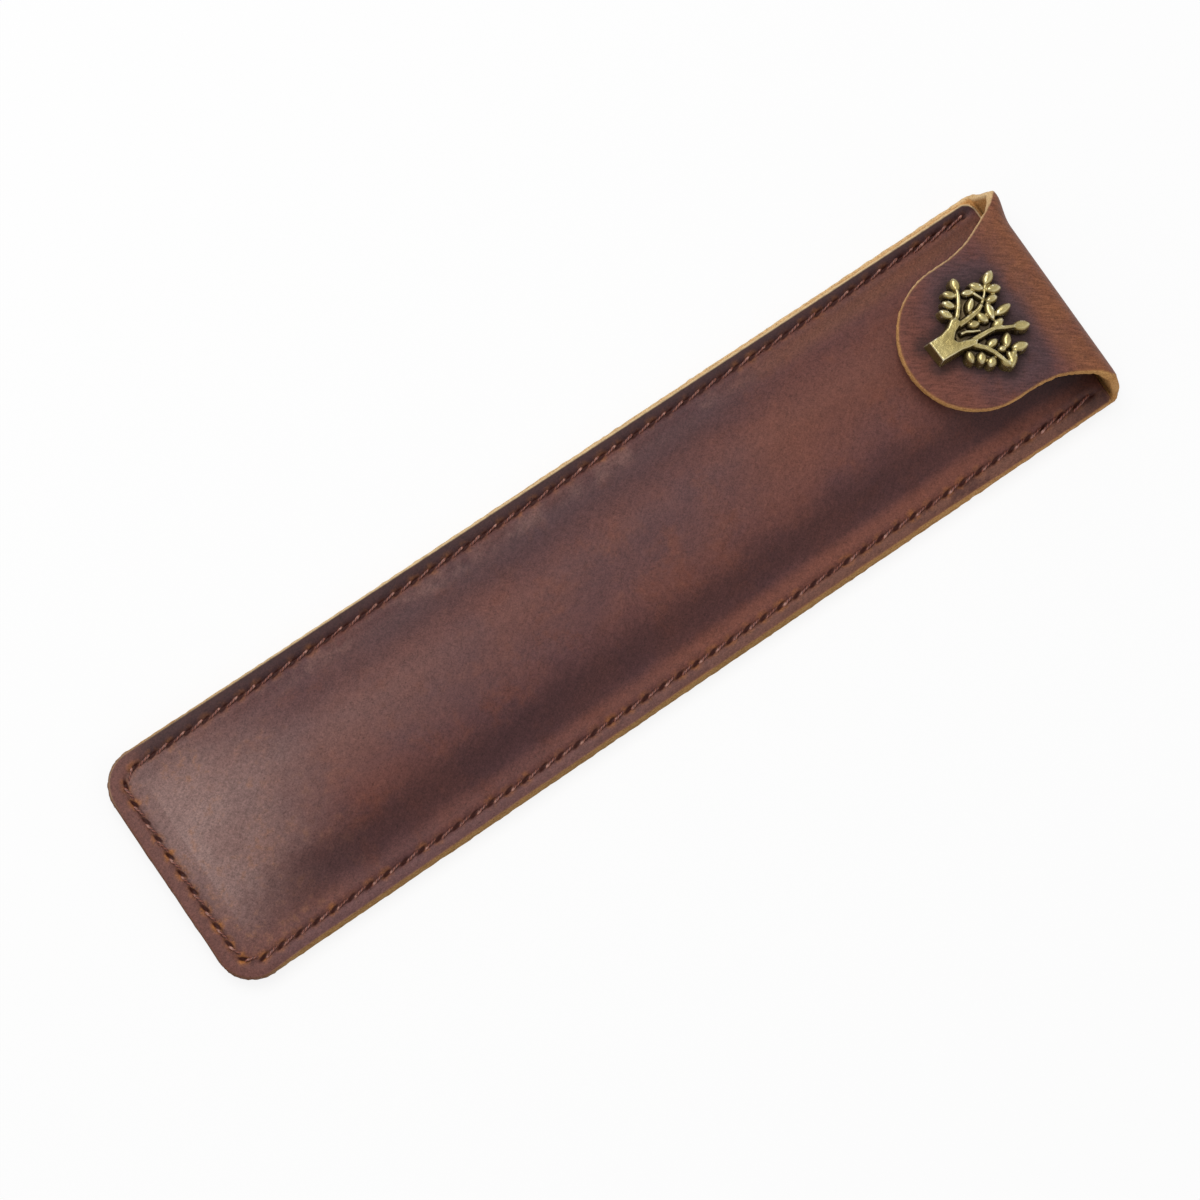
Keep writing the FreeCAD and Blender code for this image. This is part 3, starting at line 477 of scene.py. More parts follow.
def backHide(paint):
    half, bend, split = sleeve["half"], sleeve["tailRound"], fold["split"]
    outer, inner, width = shoulderShape()
    turn, back = fold["shoulderTurn"], fold["taper"] - fold["shoulderTurn"]
    taperStart = inner[0] - fold["shoulderRound"] * math.sin(math.radians(fold["taper"]))
    moves = [
        (fold["shoulder"], -half), ((outer[0], -outer[1]), turn, 6), ((inner[0], -inner[1]), back, 4),
        (split, -width(split)), (split, width(split)), (taperStart, width(taperStart)),
        (inner, back, 4), (outer, turn, 6), (bend, half), ((bend, half - bend), 90, 14),
        (0.0, bend - half), ((bend, bend - half), 90, 14),
    ]
    bm = leatherSlab((bend, -half), moves, sleeve["hide"], split)
    sliceSeam(bm)
    sliceRows(bm, 1, fold["backAcross"])
    sliceRows(bm, 0, fold["backAlong"])
    layHide(bm, lambda run, side, share: share * seamPress(run + sleeve["tail"], side))
    piece = finishPiece(bm, "hideBack", paint)
    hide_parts("back_panel", "flap_fold")
    crease = Vector((fold["wall"], 0, 0)) + Vector((-1, 0, 1)) * fold["lowerBend"] * (1 - math.sqrt(0.5))
    reach = Vector((1, 0, 1)).normalized() * fold["flex"]
    (crease - reach) / 1000
    (crease + reach) / 1000
    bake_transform(piece)
    print("back hide", len(piece.data.polygons))


def shadeRoundCasting(bm):  # how near the casting each point of the flap lies, for the painted shade round it
    castingShade = bm.verts.layers.float.new("castingShade")
    spots = [leaf[:2] for leaf in tree["leaves"]] + tree["trunk"] + tree["plate"]
    spots += [spot for branch in tree["branches"] for spot in branch[2]]
    gap = gapFinder(spots)
    for vert in bm.verts:
        vert[castingShade] = 1 - softStep(gap(vert.co.x - sleeve["snapX"], vert.co.y), *tree["castingShade"])


def flapHide(paint):
    split, end, tongue = fold["split"], fold["end"], fold["tongue"]
    width = shoulderShape()[2]
    creaseRun, flareEnd = (fold["runs"][2] + fold["runs"][3]) / 2, fold["flareEnd"]
    crease = width(creaseRun)
    flareRun, flareIn = flareEnd - creaseRun, crease - tongue
    flareRound = (flareRun**2 + flareIn**2) / (2 * flareIn)
    flareTurn = math.degrees(math.asin(flareRun / flareRound))
    moves = [
        (creaseRun, -crease), ((flareEnd, -tongue - flareRound), -flareTurn, 36),
        (end - tongue, -tongue), ((end - tongue, 0.0), 180, 96), (flareEnd, tongue),
        ((flareEnd, tongue + flareRound), -flareTurn, 36), (split, width(split)),
    ]
    bm = leatherSlab((split, -width(split)), moves, sleeve["hide"], split)
    sliceRows(bm, 1, fold["flapAcross"])
    sliceRows(bm, 0, fold["flapAlong"])

    def uneven(run, side, share):  # the whole thickness gives, so the share has no part in it
        give = fold["flapSway"] * sway(run, side, fold["flapSwaySize"], 5.0)
        return softStep(run, *fold["flapSwayRun"]) * give

    layHide(bm, uneven)
    shadeRoundCasting(bm)
    piece = finishPiece(bm, "hideFlap", paint)
    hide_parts("flap_tongue", "flap_fold")
    corner = Vector((fold["wall"], 0, fold["top"]))
    middle = corner - Vector((1, 0, 1)) * fold["upperBend"] * (1 - math.sqrt(0.5))
    reach = Vector((-1, 0, 1)).normalized() * fold["flapFlex"]
    (middle - reach) / 1000
    (middle + reach) / 1000
    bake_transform(piece)
    print("flap hide", len(piece.data.polygons))


stitch = {
    "round": 0.2, "sides": 6, "slant": 0.4, "sink": 0.2, "backSink": 0.36,
    "backTacks": 3, "tackShift": 0.45, "tackAside": 0.3, "tackLift": 0.1,
    "unevenWidth": 0.12, "unevenLift": 0.05, "unevenSide": 0.08, "unevenRun": 0.37,
    "path": [  # share of the pitch, height, share of the roundness
        (0.05, -0.9, 0.8), (0.11, -0.3, 1.0), (0.19, 0.03, 1.05), (0.44, 0.1, 1.0),
        (0.7, 0.03, 0.95), (0.81, -0.25, 0.9), (0.88, -0.9, 0.7),
    ],
}


def oneStitch():  # along X from hole to hole, the leather's face at z 0
    bm = bmesh.new()
    strand = bm.verts.layers.float_vector.new("strand")
    sides, path = stitch["sides"], stitch["path"]
    ring = bmesh.ops.create_circle(bm, cap_ends=True, segments=sides, radius=stitch["round"])["verts"]
    loop = bm.edges[:]
    spots = [Vector((row[0] * seam["pitch"], stitch["slant"] * (2 * row[0] - 1), row[1])) for row in path]
    for number, spot in enumerate(spots):
        if number:
            made = bmesh.ops.extrude_edge_only(bm, edges=loop)["geom"]
            ring = only(made, bmesh.types.BMVert)
            loop = only(made, bmesh.types.BMEdge)
            loop = [edge for edge in loop if all(vert in ring for vert in edge.verts)]
        ahead = spots[min(number + 1, len(spots) - 1)] - spots[max(number - 1, 0)]
        turn = Vector((0, 0, 1)).rotation_difference(ahead).to_matrix()
        reach = stitch["round"] * path[number][2]
        for place, vert in enumerate(ring):
            angle = 2 * math.pi * place / sides
            vert.co = spot + turn @ Vector((math.cos(angle) * reach, math.sin(angle) * reach, 0.0))
            vert[strand] = (path[number][0], place / sides, 0.0)
    bmesh.ops.contextual_create(bm, geom=loop)
    bmesh.ops.recalc_face_normals(bm, faces=bm.faces)
    mesh = bpy.data.meshes.new("oneStitch")
    bm.to_mesh(mesh)
    bm.free()
    return mesh


def seamStitches(name, unit, paint, level, up, replaced):
    bm = bmesh.new()
    pitch, shift = seam["pitch"], stitch["tackShift"]
    rows = [(number * pitch, 0.0, 0.0) for number in range(seam["count"])]
    for number in range(stitch["backTacks"]):  # sewn twice at both ends
        rows.append(((number + shift) * pitch, stitch["tackAside"], stitch["tackLift"]))
        rows.append((seam["length"] - (number + 1 + shift) * pitch, -stitch["tackAside"], stitch["tackLift"]))
    for along, aside, lift in rows:
        start = Vector((*seamPoint(along), 0.0))
        way = Vector((*seamPoint(along + pitch), 0.0)) - start
        before = len(bm.verts)
        bm.from_mesh(unit)
        bm.verts.ensure_lookup_table()
        jitter = noise.noise(Vector((along * stitch["unevenRun"], up, 2.0)))
        stretch = Matrix.Diagonal((way.length / pitch, 1 + stitch["unevenWidth"] * jitter, up, 1.0))
        side = Matrix.Translation((0.0, aside + stitch["unevenSide"] * jitter, 0.0))
        turn = Matrix.Rotation(math.atan2(way.y, way.x), 4, "Z")
        spot = Matrix.Translation((start.x, start.y, level + up * (lift + stitch["unevenLift"] * jitter)))
        bmesh.ops.transform(bm, matrix=spot @ turn @ side @ stretch, verts=bm.verts[before:])
    bmesh.ops.recalc_face_normals(bm, faces=bm.faces)
    piece = finishPiece(bm, name, paint, "sleeve", 60)
    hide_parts(replaced)


tree = {
    "base": 12.2, "height": 3.2, "leafHeight": 2.9, "branchHeight": 3.0, "backing": 1.2, "draft": 0.28,
    "branchWidth": 0.85, "branchTaper": 0.35, "voxel": 0.1, "smooth": 4, "dome": 0.26, "crown": 0.14,
    "leafGrow": 0.1, "leafSides": 20, "leafPoint": 0.16, "castingShade": (0.8, 2.8),
    "wallShare": 0.96, "rayTurns": (0.0, 5.6, 0.63), "rayRise": 0.75, "rayStart": 0.06, "rayReach": 2.6,
    "trunk": [
        (-8.9, 2.7), (-6.5, 2.5), (-4.9, 2.9), (-3.7, 3.7), (-2.9, 3.6), (-2.6, 2.6), (-3.0, 2.2),
        (-4.2, 1.7), (-5.1, 0.8), (-4.8, 0.1), (-3.7, -0.3), (-2.5, -0.8), (-2.0, -1.4), (-2.5, -1.9),
        (-3.9, -1.6), (-5.0, -1.3), (-6.8, -1.2), (-8.7, -1.2),
    ],
    "plate": [
        (-3.6, 3.4), (-3.5, 4.4), (-2.6, 5.2), (-2.0, 5.9), (-1.1, 6.8), (0.1, 7.5), (1.3, 6.1), (2.6, 6.1),
        (4.0, 5.4), (4.5, 4.6), (4.3, 2.8), (3.7, 2.3), (3.2, 0.9), (3.4, -0.2), (3.3, -1.7), (1.8, -1.6),
        (-0.4, -1.5), (0.4, -3.1), (1.9, -3.9), (1.8, -5.3), (1.8, -6.3), (0.8, -7.1), (-0.5, -5.6),
        (-1.8, -5.1), (-2.5, -3.6), (-4.4, -2.7), (-3.9, -1.2), (-4.6, 0.2),
    ],
    "branches": [  # share of the width, how much lower than the others, line
        (0.9, 0.0, [(-3.4, 3.0), (-2.5, 3.6), (-1.4, 4.8), (-0.6, 6.0), (-0.2, 6.8), (-0.1, 7.4)]),
        (1.15, 0.0, [(-3.2, 2.3), (-1.8, 2.3), (-0.3, 2.4), (1.0, 2.6), (2.0, 3.1)]),
        (0.6, 0.4, [(1.6, 2.9), (2.4, 3.4), (3.2, 4.1), (4.5, 5.6)]),
        (1.0, 0.0, [(-3.0, -0.9), (-1.4, -1.0), (0.2, -1.1), (1.5, -1.3), (2.7, -2.0), (4.5, -2.9)]),
        (1.0, 0.0, [(-3.6, -0.9), (-2.6, -2.0), (-1.6, -3.1), (-0.9, -4.4), (-0.5, -5.7)]
         + [(-0.2, -6.9), (0.2, -7.5)]),
        (0.6, 0.2, [(1.8, 5.4), (2.2, 4.4), (2.6, 3.5)]),
        (0.6, 0.3, [(-3.8, 1.0), (-2.7, 0.8), (-1.7, 0.2), (-0.5, -0.4)]),
        (0.7, 0.2, [(1.2, -6.6), (1.9, -6.1), (2.5, -5.8)]),
    ],
    "leaves": [  # middle x, middle y, direction, length, width
        (0.2, 7.9, 75, 2.1, 1.3), (-1.45, 7.1, 135, 2.0, 1.05), (-2.5, 5.85, 126, 2.0, 1.05),
        (-3.7, 4.8, 118, 2.2, 1.1), (5.3, 6.0, 30, 2.4, 1.3), (5.0, 4.1, -24, 2.2, 1.3),
        (2.9, 5.8, 130, 2.2, 1.2), (1.1, 5.8, 155, 1.9, 0.9), (3.8, 2.9, -9, 1.8, 1.1),
        (2.4, 1.4, -103, 2.7, 1.2), (0.3, 3.9, 40, 2.3, 1.0), (0.8, 1.2, -72, 2.0, 1.2),
        (-1.0, 1.1, -23, 1.7, 1.1), (4.3, 0.5, 2, 2.8, 1.2), (2.2, -1.0, 19, 2.3, 1.2),
        (5.2, -3.2, -25, 2.6, 1.4), (1.9, -3.9, 51, 2.3, 1.2), (3.1, -5.8, -18, 2.5, 1.3),
        (-0.3, -3.0, 4, 1.8, 1.1), (0.5, -4.6, -15, 1.2, 0.9), (1.0, -6.8, -133, 2.7, 1.2),
        (-4.5, -2.9, -102, 1.8, 1.1), (-3.1, -4.0, -124, 1.7, 1.3), (-2.1, -5.4, -148, 1.5, 1.3),
        (-0.3, -6.8, -60, 1.6, 0.9), (0.9, -6.4, -93, 1.8, 0.9),
    ],
}


def castUp(bm, face, height, draft):  # raise a flat face by sloped walls
    made = bmesh.ops.extrude_face_region(bm, geom=[face], use_keep_orig=True)["geom"]
    lid = only(made, bmesh.types.BMFace)[0]
    bmesh.ops.translate(bm, verts=only(made, bmesh.types.BMVert), vec=(0, 0, height))
    bmesh.ops.recalc_face_normals(bm, faces=bm.faces)
    walls = bmesh.ops.inset_region(bm, faces=[lid], thickness=draft, depth=0.0, use_even_offset=True)["faces"]
    foot = {vert for wall in walls for vert in wall.verts} - set(lid.verts)
    bmesh.ops.translate(bm, verts=list(foot), vec=(0, 0, -height * tree["wallShare"]))
    return lid


def castLeaf(x, y, direction, length, width):
    bm = bmesh.new()
    bmesh.ops.create_circle(bm, cap_ends=True, segments=tree["leafSides"], radius=1.0)
    long, wide = length / 2 + tree["leafGrow"], width / 2 + tree["leafGrow"]
    point = tree["leafPoint"]
    for vert in bm.verts:
        vert.co = (vert.co.x * long, vert.co.y * wide * (1 - point + point * (1 - vert.co.x**2)), 0.0)
    top, dome = tree["leafHeight"], tree["dome"]
    rings = [  # how far out, and how high
        (tree["draft"], 0.0), (0.04, top - dome - 0.14), (-0.08, top - dome),
        (-0.3 * wide, top - 0.36 * dome), (-0.62 * wide, top - 0.04 * dome),
    ]
    lid, last = bm.faces[:][0], 0.0
    for number, (grow, level) in enumerate(rings):
        if number:
            made = bmesh.ops.extrude_face_region(bm, geom=[lid], use_keep_orig=number == 1)["geom"]
            lid = only(made, bmesh.types.BMFace)[0]
        grown = ((long + grow) / (long + last), (wide + grow) / (wide + last), 1.0)
        bmesh.ops.scale(bm, vec=grown, verts=lid.verts)
        bmesh.ops.translate(bm, verts=lid.verts, vec=(0, 0, level - lid.verts[0].co.z))
        last = grow
    turn = Matrix.Translation((x, y, 0.0)) @ Matrix.Rotation(math.radians(direction), 4, "Z")
    bmesh.ops.transform(bm, matrix=turn, verts=bm.verts)
    return bm


def castOutline(points, height, draft, crown=0.0):
    spots = [Vector(point) for point in points]
    area = sum(spots[number - 1].cross(spot) for number, spot in enumerate(spots))
    bm = bmesh.new()
    for number, spot in enumerate(spots):
        way = (spots[(number + 1) % len(spots)] - spots[number - 1]).normalized()
        out = Vector((way.y, -way.x)) * (draft if area > 0 else -draft)
        bm.verts.new((*(spot + out), 0.0))
    lid = castUp(bm, bm.faces.new(bm.verts), height - crown, draft)
    if crown:
        bmesh.ops.inset_region(bm, faces=[lid], thickness=crown, depth=0.0, use_even_offset=True)
        bmesh.ops.translate(bm, verts=lid.verts, vec=(0, 0, crown))
    return bm


def castBranch(share, lower, line):
    spots = [Vector(spot) for spot in line]
    left, right = [], []
    for number, spot in enumerate(spots):
        way = (spots[min(number + 1, len(spots) - 1)] - spots[max(number - 1, 0)]).normalized()
        half = share * tree["branchWidth"] / 2 * (1 - tree["branchTaper"] * number / (len(spots) - 1))
        left.append(spot + Vector((-way.y, way.x)) * half)
        right.append(spot - Vector((-way.y, way.x)) * half)
    height, crown = tree["branchHeight"] - lower, tree["crown"] * share
    return castOutline(left + right[::-1], height, tree["draft"], crown)


def openness(bm):  # how open to the sky each point of the casting is
    note = bm.verts.layers.float.new("open")
    bm.normal_update()
    shape = bvhtree.BVHTree.FromBMesh(bm)
    turns = spread(*tree["rayTurns"])
    rays = [Vector((math.cos(turn), math.sin(turn), tree["rayRise"])).normalized() for turn in turns]
    for vert in bm.verts:
        start = vert.co + vert.normal * tree["rayStart"]
        free = [shape.ray_cast(start, ray, tree["rayReach"])[0] is None for ray in rays]
        vert[note] = sum(free) / len(rays)


def fuseCasts(casts):  # one closed skin round all of them
    whole = bmesh.new()
    loose = bpy.data.meshes.new("treeLoose")
    for cast in casts:
        bmesh.ops.recalc_face_normals(cast, faces=cast.faces)
        cast.to_mesh(loose)
        cast.free()
        whole.from_mesh(loose)
    whole.to_mesh(loose)
    whole.free()
    rough = bpy.data.objects.new("treeRough", loose)
    bpy.context.scene.collection.objects.link(rough)
    fuse = rough.modifiers.new("fuse", "REMESH")
    fuse.mode = "VOXEL"
    fuse.voxel_size = tree["voxel"]
    graph = bpy.context.evaluated_depsgraph_get()
    graph.update()
    fused = bpy.data.meshes.new_from_object(rough.evaluated_get(graph))
    bpy.data.objects.remove(rough)
    bm = bmesh.new()
    bm.from_mesh(fused)
    axes = {"use_axis_x": True, "use_axis_y": True, "use_axis_z": True}
    for turn in range(tree["smooth"]):
        bmesh.ops.smooth_vert(bm, verts=bm.verts, factor=0.5, **axes)
    return bm


def treeOrnament(paint):
    casts = [castOutline(tree["trunk"], tree["height"], tree["draft"], tree["crown"])]
    casts.append(castOutline(tree["plate"], tree["backing"], tree["draft"]))
    casts += [castBranch(*branch) for branch in tree["branches"]]
    casts += [castLeaf(*leaf) for leaf in tree["leaves"]]
    bm = fuseCasts(casts)
    openness(bm)
    bmesh.ops.translate(bm, verts=bm.verts, vec=(sleeve["snapX"], 0.0, tree["base"]))
    piece = finishPiece(bm, "treeOrnament", paint, "flap", 80)
    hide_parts("ornament")
    print("tree ornament", len(piece.data.polygons))


leatherLook = {
    "plum": rgb(88, 57, 57), "brown": rgb(104, 64, 57), "rust": rgb(112, 62, 45), "pale": rgb(146, 118, 112),
    "dark": rgb(60, 35, 36), "night": rgb(72, 54, 58), "ember": rgb(115, 67, 53), "tan": rgb(142, 98, 72),
    # the near-black brown on the next line is painted shade, for under the fold, the mouth and round the
    # casting
    "glow": rgb(130, 82, 55), "paintedShade": rgb(50, 34, 34), "hole": rgb(54, 22, 16), "halo": rgb(168, 108, 58),
    "upperMargin": rgb(56, 36, 37), "lowerMargin": rgb(106, 73, 71), "marginGlow": rgb(114, 76, 62),
    "tailMargin": rgb(108, 70, 63), "tailEdge": rgb(108, 71, 54), "rimHighlight": rgb(244, 214, 164),
    "raw": rgb(228, 176, 112), "rawDark": rgb(166, 108, 56), "ochre": rgb(150, 98, 58),
    "burnt": rgb(186, 144, 86), "burntDark": rgb(134, 94, 52),
    "flapMiddle": 193.5, "slitLong": 2.5, "slitSlant": 0.95, "haloLong": 1.5,
}


def frontTones(colour, x, y, inside, cloud):  # bands along the moulded front, in mm on the flat leather
    look, smoke, mottle = leatherLook, cloud["smoke"], cloud["mottle"]
    wavy = y + (smoke - 0.5) * 6.0
    tail = x + (cloud["blotch"] - 0.5) * 14.0
    night = wavy.bell(13.0, 6.0) * tail.step(-60.0, -30.0) * tail.step(22.0, 45.0, 1.0, 0.0) * 0.6
    colour = night.tint(colour, look["night"])
    warm = wavy.bell(4.0, 13.0) * tail.step(12.0, 42.0) * 0.62
    colour = warm.tint(colour, look["rust"])
    # paler towards the tail: paler stretched leather with a painted sheen, plus a painted highlight along the
    # crown
    paleTailAndSheen = tail.step(-82.0, -52.0, 0.85, 0.0) * wavy.step(-16.0, -5.0, 0.3, 1.0)
    paleTailAndSheen = paleTailAndSheen * smoke.step(0.3, 0.6, 0.7, 1.0)
    paleTailAndSheen = paleTailAndSheen * (inside + (mottle - 0.5) * 3.0).step(0.0, 7.0, 0.45, 1.0)
    paleTailAndSheen = paleTailAndSheen + wavy.bell(5.0, 11.0) * tail.step(-60.0, -10.0, 0.22, 0.05)
    colour = paleTailAndSheen.tint(colour, look["pale"])
    scuff = tail.step(-80.0, -50.0, 0.6, 0.05) * mottle.step(0.48, 0.7) * smoke.step(0.42, 0.6)
    colour = scuff.tint(colour, look["tan"])
    # painted shade: a darker band on the lower slope of the moulding, where the slope faces away from the
    # light
    band = wavy.step(-16.2, -13.0) * wavy.step(-10.5, -5.0, 1.0, 0.0) * tail.step(-80.0, -62.0, 0.05, 0.6)
    colour = band.tint(colour, look["dark"])
    # painted shade under the flap near the mouth, deepest under the fold
    colour = (wavy.bell(-9.0, 6.5) * x.step(58.0, 76.0) * 0.8).tint(colour, look["dark"])
    colour = (wavy.bell(-10.0, 7.5) * x.step(68.0, 80.0) * 0.55).tint(colour, look["paintedShade"])
    ember = y.bell(-15.9, 2.4) * tail.step(-60.0, 20.0, 0.15, 0.8)
    colour = ember.tint(colour, look["ember"])
    rubbed = y.bell(15.8, 2.3) * smoke.step(0.4, 0.66) * tail.step(-70.0, -40.0, 0.1, 0.3)
    colour = (rubbed * tail.step(15.0, 45.0, 1.0, 0.1)).tint(colour, look["pale"])
    colour = (y.bell(15.4, 2.8) * tail.step(25.0, 55.0) * 0.42).tint(colour, look["glow"])
    margin = tail.step(-60.0, 50.0).tint(look["lowerMargin"], look["marginGlow"])
    margin = (smoke.step(0.46, 0.62) * tail.step(30.0, 70.0, 0.2, 0.85)).tint(margin, look["dark"])
    margin = y.step(-2.0, 2.0).tint(margin, look["upperMargin"])
    margin = tail.step(-82.0, -74.0, 1.0, 0.0).tint(margin, look["tailMargin"])
    colour = (inside.step(-0.5, 0.3, 1.0, 0.0) * 0.88).tint(colour, margin)
    mouthShade = x.step(69.0, 80.0) * y.step(-13.0, -9.0, 1.0, 0.0) * smoke.step(0.34, 0.6, 0.7, 0.3)
    return mouthShade.tint(colour, look["paintedShade"])


def flapTones(colour, x, y, castingShade, cloud):  # darker round the casting, with painted shade close to it, warmer towards the fold
    look, smoke = leatherLook, cloud["smoke"]
    reach = ((x - look["flapMiddle"]) ** 2.0 * 1.4 + y * y * 0.6) ** 0.5 + (smoke - 0.5) * 8.0
    flap = x.step(176.0, 180.0)
    colour = (reach.step(5.0, 12.5, 0.85, 0.0) * flap).tint(colour, look["night"])
    colour = (reach.step(8.0, 15.0) * flap * 0.7).tint(colour, look["ember"])
    colour = (x.bell(182.5, 7.0) * smoke.step(0.3, 0.6, 0.35, 0.8)).tint(colour, look["glow"])
    # painted shade where the casting stands on the flap
    return (castingShade * 0.75).tint(colour, look["paintedShade"])


def edgeTones(x, y, edgeGap, strand, front):  # colour of the raw cut edges and the flesh side
    look = leatherLook
    place = x if front else x + sleeve["tail"]
    burnt = strand.step(0.38, 0.6).tint(look["burntDark"], look["burnt"])
    raw = strand.step(0.38, 0.6).tint(look["rawDark"], look["raw"])
    pale = place.step(10.0, 84.0, 0.0, 0.9) + y.step(0.0, 10.0, 0.0, 0.6)
    colour = place.step(-83.0, -74.0).tint(look["tailEdge"], pale.tint(burnt, raw))
    # painted highlight along the outer rim of the upper cut edges
    rawRimHighlight = edgeGap.step(0.2, 0.8, 0.75, 0.0) * y.step(8.0, 14.0) * place.step(-80.0, -40.0)
    colour = (rawRimHighlight * strand.step(0.36, 0.56, 0.4, 1.0)).tint(colour, look["rimHighlight"])
    if front:
        colour = x.step(82.2, 82.45).tint(colour, look["dark"])  # the mouth lies in the shade of the fold
    return colour


def leatherPaint(name, front):
    look = leatherLook
    paint, wire, shader = newPaint(name, 0.5, 0.0, 0.16)
    flat = attribute(wire, "flat", "Vector")
    x, y = flat.parts()[:2]
    along, inside = attribute(wire, "seam", "Vector").parts()[:2]
    skin, edgeGap = attribute(wire, "skin"), attribute(wire, "edgeGap")
    blotch = flat.stretched((0.7, 1.0, 1.0)).cloud(0.07, 4.0, 0.62, 0.2)
    smoke = flat.cloud(0.17, 5.0, 0.66)
    mottle = flat.cloud(0.75, 3.0, 0.6)
    grain = flat.cloud(2.6, 3.0, 0.7)
    fine = flat.cloud(5.0, 2.0, 0.6)
    creases = flat.streaked(0.61, (2.4, 0.36, 1.0)).cloud(0.9, 4.0, 0.65, 0.5)
    hair = flat.cloud(1.2, 3.0, 0.6, 3.0)
    fibre = flat.stretched((1.0, 1.0, 2.6)).cloud(3.2, 4.0, 0.7)
    cloud = {"blotch": blotch, "smoke": smoke, "mottle": mottle}
    colour = blotch.step(0.34, 0.68).tint(look["plum"], look["brown"])
    colour = (smoke.step(0.5, 0.72) * 0.45).tint(colour, look["rust"])
    if front:
        colour = frontTones(colour, x, y, inside, cloud)
        rubbed = x.step(-81.0, -77.0, 1.0, 0.6) * y.step(4.0, 16.0, 1.0, 0.55)
        worn = y.step(-4.0, 4.0, 1.0, 0.1) * x.step(-80.0, -70.0, 0.2, 1.0)
        creaseTone, creaseBump = 0.12, 0.6
    else:
        colour = flapTones(colour, x, y, attribute(wire, "castingShade"), cloud)
        rubbed = 0.6
        worn = x.step(150.0, 172.0, 0.3, 1.0)
        creaseTone, creaseBump = 0.42, 1.2
    hole = (along + 0.5).fraction() - 0.5
    slant = inside - hole * look["slitSlant"]
    slitAndShade = ((hole * (seam["pitch"] / look["slitLong"])) ** 2.0 + slant * slant) ** 0.5
    halo = ((hole * (seam["pitch"] / look["haloLong"])) ** 2.0 + (inside * 0.8) ** 2.0) ** 0.5
    sewn = along.step(-0.2, 0.05) * along.step(seam["count"] - 0.05, seam["count"] + 0.2, 1.0, 0.0)
    rub = smoke.step(0.36, 0.62) * mottle.step(0.3, 0.6) * sewn * rubbed
    colour = (halo.step(0.3, 1.15, 1.0, 0.0) * rub).tint(colour, look["halo"])
    tone = 1.0 + (mottle - 0.5) * 0.34 + (grain - 0.5) * 1.15 + (fine - 0.5) * 1.1
    tone = tone + (creases.step(0.36, 0.64) - 0.5) * creaseTone + (hair - 0.5) * 0.6
    colour = tone.shade(colour)
    # needle holes and painted shade in the sunk groove: a dark line along it and dark slits between the
    # strands
    colour = (inside.size().step(0.2, 0.6, 0.24, 0.0) * sewn).tint(colour, look["hole"])
    colour = (slitAndShade.step(0.2, 0.48, 1.0, 0.0) * sewn).tint(colour, look["hole"])
    wear = edgeGap.step(0.1, 0.7, 1.0, 0.0) * smoke.step(0.42, 0.68) * worn * 0.5
    colour = wear.tint(colour, look["ochre"])
    if front:
        # painted highlight along the rim of the upper cut edge towards the tail
        rimLineHighlight = edgeGap.step(0.15, 0.5, 1.0, 0.0) * y.step(12.0, 17.0) * x.step(-82.0, -40.0, 0.3, 0.85)
        colour = (rimLineHighlight * mottle.step(0.3, 0.55, 0.55, 1.0)).tint(colour, look["rimHighlight"])
    strand = fibre * 0.55 + fine * 0.25 + smoke * 0.2
    speck = (fine * 0.6 + grain * 0.4).step(0.5, 0.62) * 0.6
    cutEdge = edgeTones(x, y, edgeGap, strand, front)
    colour = skin.tint(speck.tint(cutEdge, look["burntDark"]), colour)
    feed(shader, "Base Color", colour)
    feed(shader, "Roughness", skin * (grain * 0.14 + 0.42 + smoke * 0.08) + (1.0 - skin) * 0.85)
    pores = grain * 0.7 + fine * 0.3 + hair * 0.6 + creases * creaseBump
    relief = bumped(wire, pores, 0.36, 0.0002)
    feed(shader, "Normal", bumped(wire, fibre * (1.0 - skin), 0.5, 0.0003, relief))
    return paint


threadLook = {"ply": rgb(78, 38, 30), "crown": rgb(136, 82, 68), "waxAndHighlight": rgb(208, 158, 142), "twists": 5.0}


def threadPaint():
    look = threadLook
    paint, wire, shader = newPaint("waxedThread", 0.42, 0.0, 0.4)
    share, around = attribute(wire, "strand", "Vector").parts()[:2]
    ply = ((share * look["twists"] + around * 2.0).fraction() - 0.5).size()
    waxAndHighlight = objectSpot(wire).cloud(900.0, 2.0)
    colour = ply.step(0.1, 0.45).tint(look["ply"], look["crown"])
    # painted highlight where each stitch comes out of its hole
    colour = (share.bell(0.24, 0.16) * waxAndHighlight.step(0.42, 0.6) * 0.6).tint(colour, look["waxAndHighlight"])
    feed(shader, "Base Color", colour)
    feed(shader, "Roughness", 0.36 + waxAndHighlight * 0.2)
    feed(shader, "Normal", bumped(wire, ply, 0.6, 0.00012))
    return paint


bronzeLook = {
    "recess": rgb(46, 33, 26), "body": rgb(142, 121, 66), "top": rgb(160, 146, 97),
    "patch": rgb(112, 95, 50), "hollow": rgb(40, 28, 22), "rim": rgb(254, 248, 220),
}


